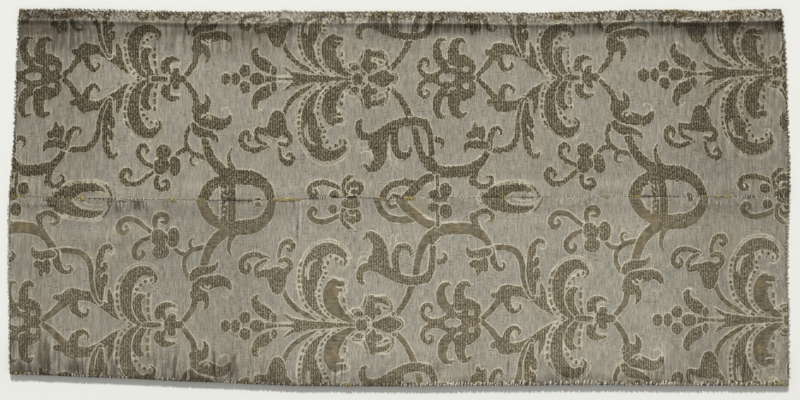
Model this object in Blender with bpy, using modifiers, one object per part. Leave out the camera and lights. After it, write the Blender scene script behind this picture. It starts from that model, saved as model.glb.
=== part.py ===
"""Brocade panel: two widths of cloth joined along a lengthwise seam, lying flat on a surface.

Each width is one sheet. Its outer long edge is turned under as a hem, and its inner long edge is turned
under as a seam allowance, so that the two folds meet along the middle. The short ends are cut edges.
Metres, +Z up, +X along the panel and +Y across it. The origin is under the middle of the panel.
"""

import math
from collections import namedtuple

import bmesh
import bpy

CLOTH_THICKNESS = 0.0010
LAYER_GAP = 0.0002
FOLD_RADIUS = (CLOTH_THICKNESS + LAYER_GAP) / 2
SEAM_GAP = 0.0003
COLUMNS = 144
FIELD_ROWS = 18
FOLD_STEPS = 6

Point = namedtuple("Point", "x y")
Edge = namedtuple("Edge", "fold_radius allowance slope_start slope_end")
Crease = namedtuple("Crease", "x y half_length half_width height angle")

# The outline of the panel, read from left to right and from top to bottom
TOP_LINE = (
    Point(x=-0.2810, y=0.1397),
    Point(x=-0.2430, y=0.1397),
    Point(x=-0.2000, y=0.1388),
    Point(x=-0.1560, y=0.1376),
    Point(x=-0.1040, y=0.1374),
    Point(x=-0.0860, y=0.1386),
    Point(x=-0.0640, y=0.1376),
    Point(x=-0.0200, y=0.1378),
    Point(x=0.0450, y=0.1374),
    Point(x=0.0980, y=0.1366),
    Point(x=0.1340, y=0.1374),
    Point(x=0.1790, y=0.1390),
    Point(x=0.2080, y=0.1390),
    Point(x=0.2240, y=0.1378),
    Point(x=0.2450, y=0.1388),
    Point(x=0.2830, y=0.1394),
)
SEAM_LINE = (
    Point(x=-0.2880, y=0.0016),
    Point(x=-0.2520, y=0.0002),
    Point(x=-0.2200, y=-0.0010),
    Point(x=-0.1780, y=-0.0016),
    Point(x=-0.1210, y=-0.0022),
    Point(x=-0.0740, y=-0.0014),
    Point(x=-0.0520, y=-0.0002),
    Point(x=-0.0290, y=0.0000),
    Point(x=-0.0100, y=-0.0010),
    Point(x=0.0460, y=0.0000),
    Point(x=0.1180, y=0.0004),
    Point(x=0.1860, y=0.0008),
    Point(x=0.2880, y=0.0004),
)
BOTTOM_LINE = (
    Point(x=-0.2880, y=-0.1306),
    Point(x=-0.2660, y=-0.1312),
    Point(x=-0.2360, y=-0.1325),
    Point(x=-0.2000, y=-0.1338),
    Point(x=-0.1620, y=-0.1358),
    Point(x=-0.1250, y=-0.1370),
    Point(x=-0.1030, y=-0.1382),
    Point(x=-0.0730, y=-0.1394),
    Point(x=0.0010, y=-0.1396),
    Point(x=0.0750, y=-0.1390),
    Point(x=0.1490, y=-0.1386),
    Point(x=0.2230, y=-0.1390),
    Point(x=0.2850, y=-0.1390),
)
LEFT_LINE = (
    Point(x=-0.2806, y=0.1396),
    Point(x=-0.2822, y=0.1046),
    Point(x=-0.2832, y=0.0776),
    Point(x=-0.2848, y=0.0416),
    Point(x=-0.2858, y=0.0226),
    Point(x=-0.2874, y=0.0066),
    Point(x=-0.2884, y=-0.0034),
    Point(x=-0.2886, y=-0.0564),
    Point(x=-0.2878, y=-0.0904),
    Point(x=-0.2876, y=-0.1314),
)
RIGHT_LINE = (
    Point(x=0.2824, y=0.1396),
    Point(x=0.2842, y=0.1226),
    Point(x=0.2856, y=0.1036),
    Point(x=0.2868, y=0.0656),
    Point(x=0.2878, y=0.0366),
    Point(x=0.2886, y=0.0066),
    Point(x=0.2872, y=-0.0284),
    Point(x=0.2870, y=-0.0564),
    Point(x=0.2880, y=-0.0904),
    Point(x=0.2878, y=-0.1394),
)

# How each long edge is turned under, and where the cloth comes back down to the surface it lies on
HEM_TOP = Edge(fold_radius=0.0008, allowance=0.0080, slope_start=0.0078, slope_end=0.0125)
HEM_BOTTOM = Edge(fold_radius=0.0014, allowance=0.0070, slope_start=0.0060, slope_end=0.0340)
SEAM_EDGE = Edge(fold_radius=FOLD_RADIUS, allowance=0.0065, slope_start=0.0045, slope_end=0.0150)

# Soft ridges that stand in the cloth: pleats from the bottom hem, puckers at the seam, and old fold marks
CREASES = (
    Crease(x=-0.2590, y=-0.1180, half_length=0.0200, half_width=0.0060, height=0.0012, angle=90),
    Crease(x=-0.2370, y=-0.1250, half_length=0.0110, half_width=0.0050, height=0.0006, angle=88),
    Crease(x=-0.2100, y=-0.1260, half_length=0.0120, half_width=0.0050, height=0.0007, angle=93),
    Crease(x=-0.1900, y=-0.1240, half_length=0.0140, half_width=0.0060, height=0.0008, angle=92),
    Crease(x=-0.1640, y=-0.1260, half_length=0.0130, half_width=0.0050, height=0.0008, angle=85),
    Crease(x=-0.1330, y=-0.1190, half_length=0.0220, half_width=0.0070, height=0.0014, angle=86),
    Crease(x=-0.1190, y=-0.1270, half_length=0.0130, half_width=0.0050, height=0.0007, angle=82),
    Crease(x=0.0680, y=-0.1240, half_length=0.0150, half_width=0.0070, height=0.0008, angle=90),
    Crease(x=-0.0730, y=-0.0180, half_length=0.0200, half_width=0.0060, height=0.0008, angle=88),
    Crease(x=-0.2430, y=-0.0160, half_length=0.0160, half_width=0.0080, height=0.0009, angle=84),
    Crease(x=-0.2030, y=-0.0110, half_length=0.0090, half_width=0.0050, height=0.0007, angle=90),
    Crease(x=-0.1870, y=-0.0100, half_length=0.0090, half_width=0.0050, height=0.0006, angle=86),
    Crease(x=-0.1330, y=0.1090, half_length=0.0500, half_width=0.0090, height=0.0011, angle=-4),
    Crease(x=0.0530, y=0.0820, half_length=0.0300, half_width=0.0120, height=0.0007, angle=60),
    Crease(x=-0.2100, y=-0.0300, half_length=0.0620, half_width=0.0090, height=0.0010, angle=6),
    Crease(x=0.1900, y=-0.0300, half_length=0.0500, half_width=0.0110, height=0.0006, angle=-3),
)


def clear_scene():
    for obj in list(bpy.data.objects):
        bpy.data.objects.remove(obj)


def along(line, key, value, at):
    """The line's value at a place between its points, straight from point to point."""
    points = sorted(line, key=lambda point: getattr(point, key))
    places = [getattr(point, key) for point in points]
    values = [getattr(point, value) for point in points]
    if at <= places[0]:
        return values[0]
    for i in range(1, len(points)):
        if at <= places[i]:
            share = (at - places[i - 1]) / (places[i] - places[i - 1])
            return values[i - 1] + share * (values[i] - values[i - 1])
    return values[-1]


def line_y(line, x):
    return along(line, "x", "y", x)


def smooth_step(share):
    share = min(1.0, max(0.0, share))
    return share * share * (3 - 2 * share)


def crease_lift(x, y):
    """How far the soft ridges lift the cloth off the surface at a place, never below it."""
    lift = 0.0
    for crease in CREASES:
        turn = math.radians(crease.angle)
        dx, dy = x - crease.x, y - crease.y
        lengthwise = abs(dx * math.cos(turn) + dy * math.sin(turn)) / crease.half_length
        sideways = abs(dy * math.cos(turn) - dx * math.sin(turn)) / crease.half_width
        if lengthwise < 1 and sideways < 1:
            lift += crease.height * smooth_step(1 - lengthwise) * smooth_step(1 - sideways)
    return lift


def edge_section(edge, inset):
    """The turned edge from its raw end to the flat cloth, as (distance in from the edge line, height) pairs.

    The heights are those of the middle of the cloth's thickness.
    """
    low = CLOTH_THICKNESS / 2
    middle = inset + CLOTH_THICKNESS / 2 + edge.fold_radius
    high = low + 2 * edge.fold_radius
    section = [(inset + edge.allowance, low)]
    for step in range(FOLD_STEPS + 1):
        turn = math.pi * step / FOLD_STEPS
        away = middle - edge.fold_radius * math.sin(turn)
        section.append((away, low + edge.fold_radius * (1 - math.cos(turn))))
    section.append((inset + edge.slope_start, high))
    halfway = (edge.slope_start + edge.slope_end) / 2
    section.append((inset + halfway, (low + high) / 2))
    section.append((inset + edge.slope_end, low))
    return section


def cloth_rows(outer_edge, seam_edge):
    """Rows across one width.

    Each is (share towards the seam, distance from that side's line, height, whether it is in the top layer).
    """
    rows = []
    outer = edge_section(outer_edge, 0.0)
    for index, (away, height) in enumerate(outer):
        rows.append((0.0, away, height, index > FOLD_STEPS))
    inner = edge_section(seam_edge, SEAM_GAP / 2)
    first, last = outer[-1][0], inner[-1][0]
    for row in range(1, FIELD_ROWS):
        share = row / FIELD_ROWS
        rows.append((share, first * (1 - share) - last * share, CLOTH_THICKNESS / 2, True))
    for index, (away, height) in reversed(list(enumerate(inner))):
        rows.append((1.0, -away, height, index > FOLD_STEPS))
    return rows


def cloth_point(column, row, outer_line, side):
    """The place of a grid point: column is 0 at the left end and 1 at the right end.

    side is 1 for the upper width, whose outer line is at +Y, and -1 for the lower one.
    """
    share, away, height, on_top = row
    x = LEFT_LINE[0].x + column * (RIGHT_LINE[0].x - LEFT_LINE[0].x)
    for _ in range(3):
        outer_y = line_y(outer_line, x)
        seam_y = line_y(SEAM_LINE, x)
        y = outer_y + share * (seam_y - outer_y) - side * away
        left = along(LEFT_LINE, "y", "x", y)
        right = along(RIGHT_LINE, "y", "x", y)
        x = left + column * (right - left)
    if on_top:
        height += crease_lift(x, y)
    return x, y, height


def add_cloth(name, outer_line, outer_edge, side, material, collection):
    """One width of the cloth: a grid laid along its section, then given its thickness."""
    rows = cloth_rows(outer_edge, SEAM_EDGE)
    shape = bmesh.new()
    bmesh.ops.create_grid(shape, x_segments=COLUMNS, y_segments=len(rows) - 1, size=0.5)
    for vertex in shape.verts:
        column = min(1.0, max(0.0, vertex.co.x + 0.5))
        row = rows[round((vertex.co.y + 0.5) * (len(rows) - 1))]
        vertex.co = cloth_point(column, row, outer_line, side)
    if side > 0:
        bmesh.ops.reverse_faces(shape, faces=shape.faces)
    mesh = bpy.data.meshes.new(name)
    shape.to_mesh(mesh)
    shape.free()
    mesh.shade_smooth()
    mesh.materials.append(material)
    cloth = bpy.data.objects.new(name, mesh)
    collection.objects.link(cloth)
    thickness = cloth.modifiers.new("Thickness", "SOLIDIFY")
    thickness.thickness = CLOTH_THICKNESS
    thickness.offset = 0.0
    thickness.use_even_offset = True
    return cloth


def brocade_material(name, color):
    material = bpy.data.materials.new(name)
    material.use_nodes = True
    surface = material.node_tree.nodes["Principled BSDF"]
    surface.inputs["Base Color"].default_value = color
    surface.inputs["Roughness"].default_value = 0.55
    surface.inputs["Metallic"].default_value = 0.15
    return material


def build():
    clear_scene()
    collection = bpy.data.collections.new("brocade_panel")
    bpy.context.scene.collection.children.link(collection)
    upper = brocade_material("upper_brocade", (0.27, 0.25, 0.22, 1.0))
    lower = brocade_material("lower_brocade", (0.25, 0.23, 0.20, 1.0))
    add_cloth("upper_width", TOP_LINE, HEM_TOP, 1, upper, collection)
    add_cloth("lower_width", BOTTOM_LINE, HEM_BOTTOM, -1, lower, collection)


build()
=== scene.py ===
"""Brocade panel: two widths of patterned cloth, sewn together along the middle and lying flat.

The pattern is drawn on a weaver's chart, half a repeat of it. Each width mirrors the chart about a
line along its middle and repeats it, and the cloth's own pulls and slants move it. Metres, +Z up, +X along
the panel.
"""

import math
import random
from collections import namedtuple

import bpy
import numpy as np
from mathutils.geometry import delaunay_2d_cdt
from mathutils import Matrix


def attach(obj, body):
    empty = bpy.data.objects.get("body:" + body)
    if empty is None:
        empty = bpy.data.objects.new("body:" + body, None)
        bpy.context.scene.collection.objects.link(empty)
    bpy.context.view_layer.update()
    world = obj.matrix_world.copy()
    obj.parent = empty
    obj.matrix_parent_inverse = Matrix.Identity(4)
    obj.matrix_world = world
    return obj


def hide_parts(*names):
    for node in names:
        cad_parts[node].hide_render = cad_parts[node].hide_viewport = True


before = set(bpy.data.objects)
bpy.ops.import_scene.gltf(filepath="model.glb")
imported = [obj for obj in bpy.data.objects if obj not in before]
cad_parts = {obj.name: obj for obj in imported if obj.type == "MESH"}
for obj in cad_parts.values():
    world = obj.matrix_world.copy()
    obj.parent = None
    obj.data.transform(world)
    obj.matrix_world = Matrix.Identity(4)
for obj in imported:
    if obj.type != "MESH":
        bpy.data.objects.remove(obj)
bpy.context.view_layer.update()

REPEAT = 413            # squares along the cloth before the pattern starts again
FIRST = 66              # the square where the drawn repeat starts
TOP_ROW = -2            # the first row drawn, two above the mirror line
ROWS = 128              # rows drawn below the mirror line
FINE = 4                # samples to a square
OUTLINE = 1.12          # width of the pale outline, in squares
THINNEST = 0.4          # least half width of a stroke, in squares
FAR = 60.0              # what a place far from every motif holds, in squares
SHAPE_REACH = 8         # how far round a shape, a pale line or a shaded route the chart is looked at
LINE_REACH = 4
SHADE_REACH = 6
TINY = 1e-9


def table(kind, *rows):
    """Rows of values under the columns that their kind names."""
    return tuple(kind(*row) for row in rows)


def smooth_path(points):
    """A smooth curve through the points, a step to a square, with any further columns carried along."""
    points = np.array(points, dtype=float)
    ends = np.vstack([2 * points[0] - points[1], points, 2 * points[-1] - points[-2]])
    path = []
    for a, b, c, d in zip(ends, ends[1:], ends[2:], ends[3:]):
        count = max(2, int(math.ceil(math.hypot(*(c - b)[:2]))))
        for k in range(count):
            t = k / count
            path.append(b + 0.5 * t * (c - a + t * (2 * a - 5 * b + 4 * c - d + t * (3 * (b - c) + d - a))))
    path.append(points[-1])
    path = np.array(path)
    path[:, 2] = np.maximum(path[:, 2], THINNEST)
    return path


class Chart:
    """One repeat of the pattern as three fields, each below zero inside what it holds.

    fill is all that is brocaded, plain is its smooth part, and pale is the outlines."""

    def __init__(self):
        along = FIRST + (np.arange(REPEAT * FINE) + 0.5) / FINE
        down = (np.arange(TOP_ROW * FINE, ROWS * FINE) + 0.5) / FINE
        self.x, self.row = np.meshgrid(along, down)
        self.fill, self.pale, self.plain = (np.full(self.x.shape, FAR) for _ in range(3))

    def windows(self, low, high, reach):
        """The parts of the chart that a shape can touch, with the shift that brings the shape there."""
        for shift in (-REPEAT, 0, REPEAT):
            left = int((low[0] + shift - reach - FIRST) * FINE)
            right = int((high[0] + shift + reach - FIRST) * FINE) + 1
            top = int((low[1] - reach - TOP_ROW) * FINE)
            bottom = int((high[1] + reach - TOP_ROW) * FINE) + 1
            left, right = max(0, left), min(self.x.shape[1], right)
            top, bottom = max(0, top), min(self.x.shape[0], bottom)
            if left < right and top < bottom:
                yield (slice(top, bottom), slice(left, right)), shift

    def draw(self, shapes, plain=(), outline=OUTLINE, hole=False):
        """Lay one motif over what is drawn: its inside, then a pale line all round it."""
        boxes = [shape_box(shape) for shape in list(shapes) + list(plain)]
        low = np.min([box[0] for box in boxes], axis=0)
        high = np.max([box[1] for box in boxes], axis=0)
        for window, shift in self.windows(low, high, SHAPE_REACH):
            place = self.x[window] - shift, self.row[window]
            ribbed, smooth = nearest(shapes, *place), nearest(plain, *place)
            away = np.minimum(ribbed, smooth)
            band = np.abs(away - outline / 2) - outline / 2
            if hole:
                self.fill[window] = np.maximum(self.fill[window], -away)
            else:
                self.fill[window] = np.minimum(self.fill[window], away)
            self.pale[window] = np.minimum(np.maximum(self.pale[window], -away), band)
            self.plain[window] = np.maximum(np.minimum(self.plain[window], smooth), -ribbed)

    def beside(self, points, half_width, reach):
        """The parts of the chart beside a route, each with its places' distances outside the route's edge."""
        path = smooth_path([(x, row, half_width) for x, row in points])
        low, high = path[:, :2].min(axis=0), path[:, :2].max(axis=0)
        for window, shift in self.windows(low, high, reach):
            yield window, distance(("path", path), self.x[window] - shift, self.row[window])

    def line(self, points, width=1.05):
        """A pale line with nothing inside it, this much wider than the thinnest stroke."""
        for window, away in self.beside(points, 0, LINE_REACH):
            self.pale[window] = np.minimum(self.pale[window], away - width / 2)

    def shade(self, points, width):
        """The motif's dark thread along a route, with no pale line of its own."""
        for window, away in self.beside(points, width / 2, SHADE_REACH):
            for field in (self.fill, self.plain):
                field[window] = np.minimum(field[window], away)


def stroke(*points):
    """A tapering stroke through places of the chart, each with its half width."""
    return ("path", smooth_path(points))


def blob(x, row, along, down):
    """An oval about a place of the chart, with its half sizes."""
    return ("blob", (x, row, along, down))


def shape_box(shape):
    kind, data = shape
    if kind == "blob":
        x, row, along, down = data
        return np.array([x - along, row - down]), np.array([x + along, row + down])
    reach = data[:, 2].max()
    return data[:, :2].min(axis=0) - reach, data[:, :2].max(axis=0) + reach


def distance(shape, x, row):
    """How far each place is outside the shape, and below zero inside it."""
    kind, data = shape
    if kind == "blob":
        middle, middle_row, along, down = data
        across, over = (x - middle) / along, (row - middle_row) / down
        size = np.sqrt(across ** 2 + over ** 2) + TINY
        slope = np.sqrt((across / along) ** 2 + (over / down) ** 2) + TINY
        return size * (size - 1) / slope
    best = np.full(x.shape, FAR)
    for a, b in zip(data, data[1:]):
        step = b[:2] - a[:2]
        length = max(TINY, float(step @ step))
        t = np.clip(((x - a[0]) * step[0] + (row - a[1]) * step[1]) / length, 0, 1)
        away = np.hypot(x - a[0] - t * step[0], row - a[1] - t * step[1]) - (a[2] + t * (b[2] - a[2]))
        best = np.minimum(best, away)
    return best


def nearest(shapes, x, row):
    """How far each place is outside the nearest of the shapes."""
    best = np.full(x.shape, FAR)
    for shape in shapes:
        best = np.minimum(best, distance(shape, x, row))
    return best


# How wide the rungs of a ladder are, and how unevenly rungs and blocks are set
RUNG_WIDTHS = (1.1, 1.4, 1.9)
UNEVEN = (0.75, 1.25)


def ladder(chart, leaf, side, gap=3.6, pitch=5.4, first=0.0, last=1.0, rungs=True):
    """A second pale line beside one edge of a leaf, with dark between the two, tied across by rungs."""
    path = leaf[1]
    begin, end = int(first * (len(path) - 1)), int(last * (len(path) - 1))
    direction = np.gradient(path[:, :2], axis=0)
    direction /= np.linalg.norm(direction, axis=1)[:, None] + TINY
    normal = np.stack([direction[:, 1], -direction[:, 0]], axis=1) * side
    outer = path[:, :2] + normal * (path[:, 2] + gap)[:, None]
    inner = path[:, :2] + normal * (path[:, 2] + 0.5)[:, None]
    chart.line([tuple(p) for p in outer[begin:end + 1:2]])
    if not rungs:
        return
    chart.shade([tuple(p) for p in ((inner + outer) / 2)[begin:end + 1:2]], gap)
    chance = np.random.default_rng(int(pitch * 10))
    travelled, wanted = 0.0, pitch
    for i in range(begin + 1, end):
        travelled += float(np.linalg.norm(outer[i] - outer[i - 1]))
        if travelled >= wanted:
            travelled = 0.0
            wanted = pitch * chance.uniform(*UNEVEN)
            chart.line([tuple(inner[i]), tuple(outer[i])], width=chance.choice(RUNG_WIDTHS))


def blocks(chart, places, along=1.9, down=2.2):
    """Small dark blocks in a pale band, the toothed edge of a leaf."""
    chance = np.random.default_rng(len(places))
    chart.line(places, width=2 * along + 0.6)
    for x, row in places:
        size = chance.uniform(*UNEVEN)
        chart.draw([blob(x, row, along * size, down / size)], outline=1.0)


# The motifs, in squares and rows of the chart, with the half widths of strokes last
def seam_flower(c):
    c.draw([], plain=[
        stroke((343, 111, 2), (333, 106, 2.6), (322, 103.5, 2.8), (313, 106, 2.8), (309.5, 112, 2.8),
            (313, 117, 2.2), (317, 114, 1.6), (315, 110.5, 1)),
    ])
    c.draw([stroke((346, 114, 3.8), (345, 105, 3.5), (349, 98.5, 2.2), (354, 96.5, 0.8))])
    c.draw([blob(355, 109, 9, 7.5)])
    c.draw([blob(334, 116, 5, 5)])
    c.draw([blob(353, 122, 10, 5.5)])
    c.line([(349, 114), (351, 110), (357, 110)])


def crescent(c):
    c.draw([
        stroke((96, 103.5, 1), (104.5, 106.3, 1.3), (109.7, 112, 1.3), (112.7, 119, 1.2), (114, 127, 0.8)),
    ])
    path = stroke((70, 131, 9.8), (71, 121, 9.2), (75.5, 115, 7), (83, 111.6, 5), (93, 109.8, 4.2),
        (101, 110.8, 2.8), (105.5, 113.5, 0.8))
    c.draw([path])
    ladder(c, path, 1, gap=3.2, pitch=5, first=0.12, last=0.95)
    c.line([(82, 121), (86, 116), (92, 114.8), (101, 115), (108, 117.5), (112.5, 121)])
    c.line([(84, 126), (89, 120.5), (97, 118.8), (106, 120.5), (111, 124)], width=1.1)
    for x, row in ((65, 111.5), (74, 106.5)):
        c.line([(x, row), (x + 1.5, row + 2.2)], width=1)


def ring(c):
    c.draw([
        stroke((224, 104, 3), (224, 117, 3.4), (223, 130, 3.2)),
        stroke((232, 96, 3.6), (232, 110, 3.9), (232, 132, 3.9)),
        stroke((238, 100.5, 4.8), (247, 101.5, 5), (256, 103.5, 4.2), (263.5, 109.5, 2.8),
            (268.5, 120, 1.8), (269.5, 132, 1.6)),
    ], plain=[
        stroke((232, 98, 4.6), (222, 101.5, 5.4), (212, 107, 5.8), (204.5, 117, 5.4), (199, 131, 4.8)),
        stroke((205, 62, 4), (210, 77, 4.6), (217, 87, 5.2), (227, 94.5, 5.4), (240, 96, 5.4),
            (252, 97, 5.2), (262, 102, 4.6), (269.5, 111, 3.8), (272.6, 122, 3), (273, 134, 3)),
        stroke((236, 95, 3), (230, 85, 2.4), (229, 76, 1.6), (231.5, 69.5, 0.5)),
    ])
    for x, row in ((219, 107), (222.5, 110), (219.5, 113), (223.5, 116), (220, 119), (225, 121),
            (221, 124)):
        c.line([(x, row), (x + 1.4, row + 1.6)], width=0.9)
    c.line([(213, 114), (216, 110.5)], width=0.9)
    c.line([(210, 120), (213.5, 117)], width=0.9)
    c.draw([blob(258, 121.5, 3, 2.8)], outline=0.9)


def second_ring(c):
    c.draw([], plain=[
        stroke((416, 105, 3.6), (401, 104.5, 3.4), (391, 107, 3.4), (384.5, 114, 3.4), (381, 124, 3.4),
            (380, 134, 3.4)),
    ])
    c.draw([], plain=[stroke((400, 119, 2), (394, 117, 2), (391, 122, 2), (393, 130, 1.8))])


def main_stem(c):
    c.draw([
        stroke((198, 40, 3.2), (201, 50, 3.6)),
    ], plain=[
        stroke((201, 48, 3.6), (204, 61, 4), (210, 77, 4.6), (214, 83, 4.8)),
        stroke((198, 41, 2.4), (191, 46.5, 2.2), (186.5, 55, 2.1), (186, 65, 2.2), (191, 73, 2.4),
            (200, 77, 2.6), (210, 79, 2.8)),
        stroke((189, 71, 2.1), (182, 71.5, 2), (176.5, 76, 1.9), (172.5, 83, 1.6)),
        stroke((194, 75, 1.8), (190.5, 81.5, 1.6), (193, 86.5, 1.1), (196.5, 85, 0.6)),
    ])
    ring(c)


def bud_and_leaves(c):
    c.draw([
        stroke((203, 35, 4), (207, 28, 3.4), (207.8, 21, 2.4), (205.5, 16, 0.9)),
        blob(200, 31, 8.4, 6.8),
        stroke((197, 37, 4), (199, 43, 4), (207, 42, 6.2), (214, 44, 6), (221, 45.5, 5), (227.5, 42.5, 3.6),
            (230.5, 36, 1.6)),
    ], plain=[
        stroke((184, 1, 2.4), (190, 9, 2.6), (195, 17, 2.8), (197, 26, 3)),
    ])
    c.line([(202, 38), (205, 35.5), (210, 34.5)], width=1.1)
    c.draw([
        stroke((194, 47, 3.2), (197, 52, 4.4), (204, 54.5, 4.4), (211, 56, 3.4), (216.5, 59.5, 1.9),
            (218, 64.5, 0.6)),
    ])
    c.line([(230.5, 36), (229.5, 31), (226, 28), (222, 30.5)])
    c.line([(206, 40), (209, 37.5), (211, 40)], width=1)


def trefoil(c):
    c.draw([], plain=[
        stroke((155, 88, 2.2), (146, 84.5, 2.6), (139.5, 78, 2.7), (139, 71, 2.5), (143.5, 67, 2.5),
            (147.5, 70.5, 2), (146, 75, 1)),
    ])
    c.draw([], plain=[
        stroke((156, 91, 1.9), (148, 97, 2.2), (139, 104, 2.6), (130, 106, 2.9), (123.5, 102, 2.9),
            (122.3, 95.5, 2.7), (127, 91.3, 2.6), (131, 95, 1.9), (129, 99.5, 1)),
    ])
    c.draw([], plain=[
        stroke((160, 92, 2), (156.5, 101, 2.4), (157.5, 108, 2.7), (163, 110.5, 2.7), (168, 106.5, 2.5),
            (166.5, 102, 1.9), (161.8, 103, 1)),
    ])
    c.draw([blob(174.8, 87, 6, 10)])
    c.draw([blob(162, 86, 7.8, 7.6), blob(160, 91, 6, 4.6), blob(163.5, 73, 7.8, 7)], outline=1)
    c.line([(154.5, 80.5), (157, 79.5)], width=1.2)


def arm(c):
    c.draw([
        stroke((80, 20, 3.2), (84, 28, 4)),
        stroke((86, 28, 4), (86.3, 19, 3.5), (89, 11.5, 2.9), (94.5, 8, 2.3), (99, 11, 1.7),
            (98.5, 15.5, 0.8)),
        stroke((150, 1, 2.6), (137, 4.5, 3), (124, 11, 3.3), (112, 20, 3.8), (101, 27, 4.8),
            (90, 28.5, 5.2), (81, 27, 4)),
        blob(75.5, 25, 4.2, 3.2), blob(86, 31.5, 6.5, 3.6),
        stroke((121, 12, 2.6), (120, 22, 3.2), (118, 31, 1.8), (117, 35, 0.8)),
    ], plain=[
        stroke((60, -2, 1.8), (66, 3.5, 2.5), (71, 8.5, 2.9), (76, 15, 3.1), (80, 21, 3.3)),
    ])
    c.line([(95, 18), (92.5, 15), (95, 12.5)], width=1)


def hanging_leaf(c):
    c.draw([], plain=[
        stroke((110, 22, 2.4), (104, 31, 2.5), (100.3, 43, 2.5), (98.8, 54, 2.6), (95, 64, 2.9),
            (88, 70.5, 3), (78, 72.5, 2.8), (68, 70.5, 2.6), (62, 68, 2.4)),
    ])
    c.draw([
        blob(111.5, 45, 4.2, 7.6), blob(110.5, 58, 3.8, 5.4),
        stroke((110.5, 26, 2), (109, 35, 3.8), (107.3, 46, 4.6), (106.6, 58, 3.8), (106.8, 68, 3.4),
            (109, 76, 2.8), (114, 78.5, 2.2), (118.3, 75, 1.2)),
    ])
    c.line([(118.5, 76), (119.5, 72), (116.5, 70), (114, 72)], width=1.1)
    c.line([(113, 51.5), (110.5, 51), (109, 48)], width=1)
    c.line([(112, 63), (109.5, 62), (108.5, 59)], width=1)


def bud(c):
    c.draw([
        stroke((71, 71, 2.4), (72.5, 61, 2.7), (75, 53.5, 2.5), (80, 50.5, 2.1), (83, 54, 1.2),
            (81, 57.5, 0.7)),
    ])
    c.draw([
        blob(61.5, 57, 6.8, 8), blob(59.5, 50, 2.6, 5), blob(54.5, 57.5, 3.4, 3.6),
        blob(66, 52.5, 2.6, 4.4),
        stroke((67, 68, 4.4), (58, 66.5, 4.4), (51.5, 68, 3), (49.5, 73, 1.6)),
    ])
    c.line([(56, 62.5), (60, 61), (64, 63)], width=0.9)
    c.shade([(62, 69.5), (68, 71.3), (76, 72.4)], 3.4)
    c.shade([(71, 72), (71.4, 67), (72, 63)], 2.8)


def lower_stem(c):
    c.draw([], plain=[
        stroke((398, 134, 4.2), (405, 121, 4.4), (413, 112, 4.5), (424, 103, 4.8), (437, 96, 5),
            (452, 96, 5)),
    ])
    c.draw([
        stroke((420, 42, 3.4), (427, 50, 2.8), (430, 61, 2.7), (431, 72, 2.7), (432, 80, 3.4),
            (438, 88, 4.2)),
        stroke((431.5, 79, 3), (431, 69, 2.8), (434.5, 62.5, 2.8), (440, 62, 2.6), (443, 66.5, 1.8),
            (441, 70.5, 0.8)),
        stroke((472, 91, 3), (469, 100, 2.7), (471, 107, 2.7), (478, 109, 2.5), (483.5, 105, 2.1),
            (483.5, 99.5, 1.5), (479.5, 99, 0.8)),
        blob(467, 104, 2.4, 5),
    ], plain=[
        stroke((384, 7, 2.4), (394, 13, 2.8), (402, 23, 3), (408, 34, 3.2), (413.5, 46, 3.6),
            (416.5, 60, 3.5), (420.5, 74, 3.8), (428, 86, 4.6), (438, 92.5, 5.2), (449, 94, 5.8),
            (462, 93, 5.4), (472, 88, 4.4), (479, 80, 3.2), (484, 70, 2.6)),
    ])
    c.line([(434, 80), (440, 86), (450, 88)], width=1.1)


def small_trefoil(c):
    c.draw([stroke((437, 98, 1.6), (437.5, 106, 1.7), (438, 116, 2)), blob(434, 116, 5.2, 4.8)])
    c.draw([blob(445, 112, 5.6, 7.2)])
    c.draw([blob(440, 126, 8, 5)])
    c.line([(423, 110), (427, 105.5), (431, 104)], width=1.1)


def small_flower_leaf(c):
    path = stroke((158, -1, 2.4), (144, 5, 3.6), (136.5, 14, 4.8), (133.5, 26, 5.6), (134.2, 39, 6.4),
        (140, 50, 6.4), (149, 54.5, 4.8), (156.5, 51, 3.4), (160, 45, 2), (157.5, 41, 0.8))
    c.draw([path])
    ladder(c, path, -1, gap=4.6, pitch=6.6, first=0.08, last=0.60)
    ladder(c, path, -1, gap=3.4, first=0.60, last=0.95, rungs=False)
    blocks(c, [(142.5, 30), (143.8, 35.5), (147, 40), (151.5, 43.5), (156.5, 45)], along=1.8, down=2)
    inner = stroke((153, 3, 2.6), (147.5, 11, 3.6), (144.7, 21, 4.2), (147, 28, 3.4), (151, 29.5, 1.6))
    c.draw([inner])
    ladder(c, stroke((155, 2, 1), (152.5, 15, 1.2), (152.5, 31, 0.8)), 1, gap=3.6, pitch=5.6, first=0.1,
        last=1)


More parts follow.
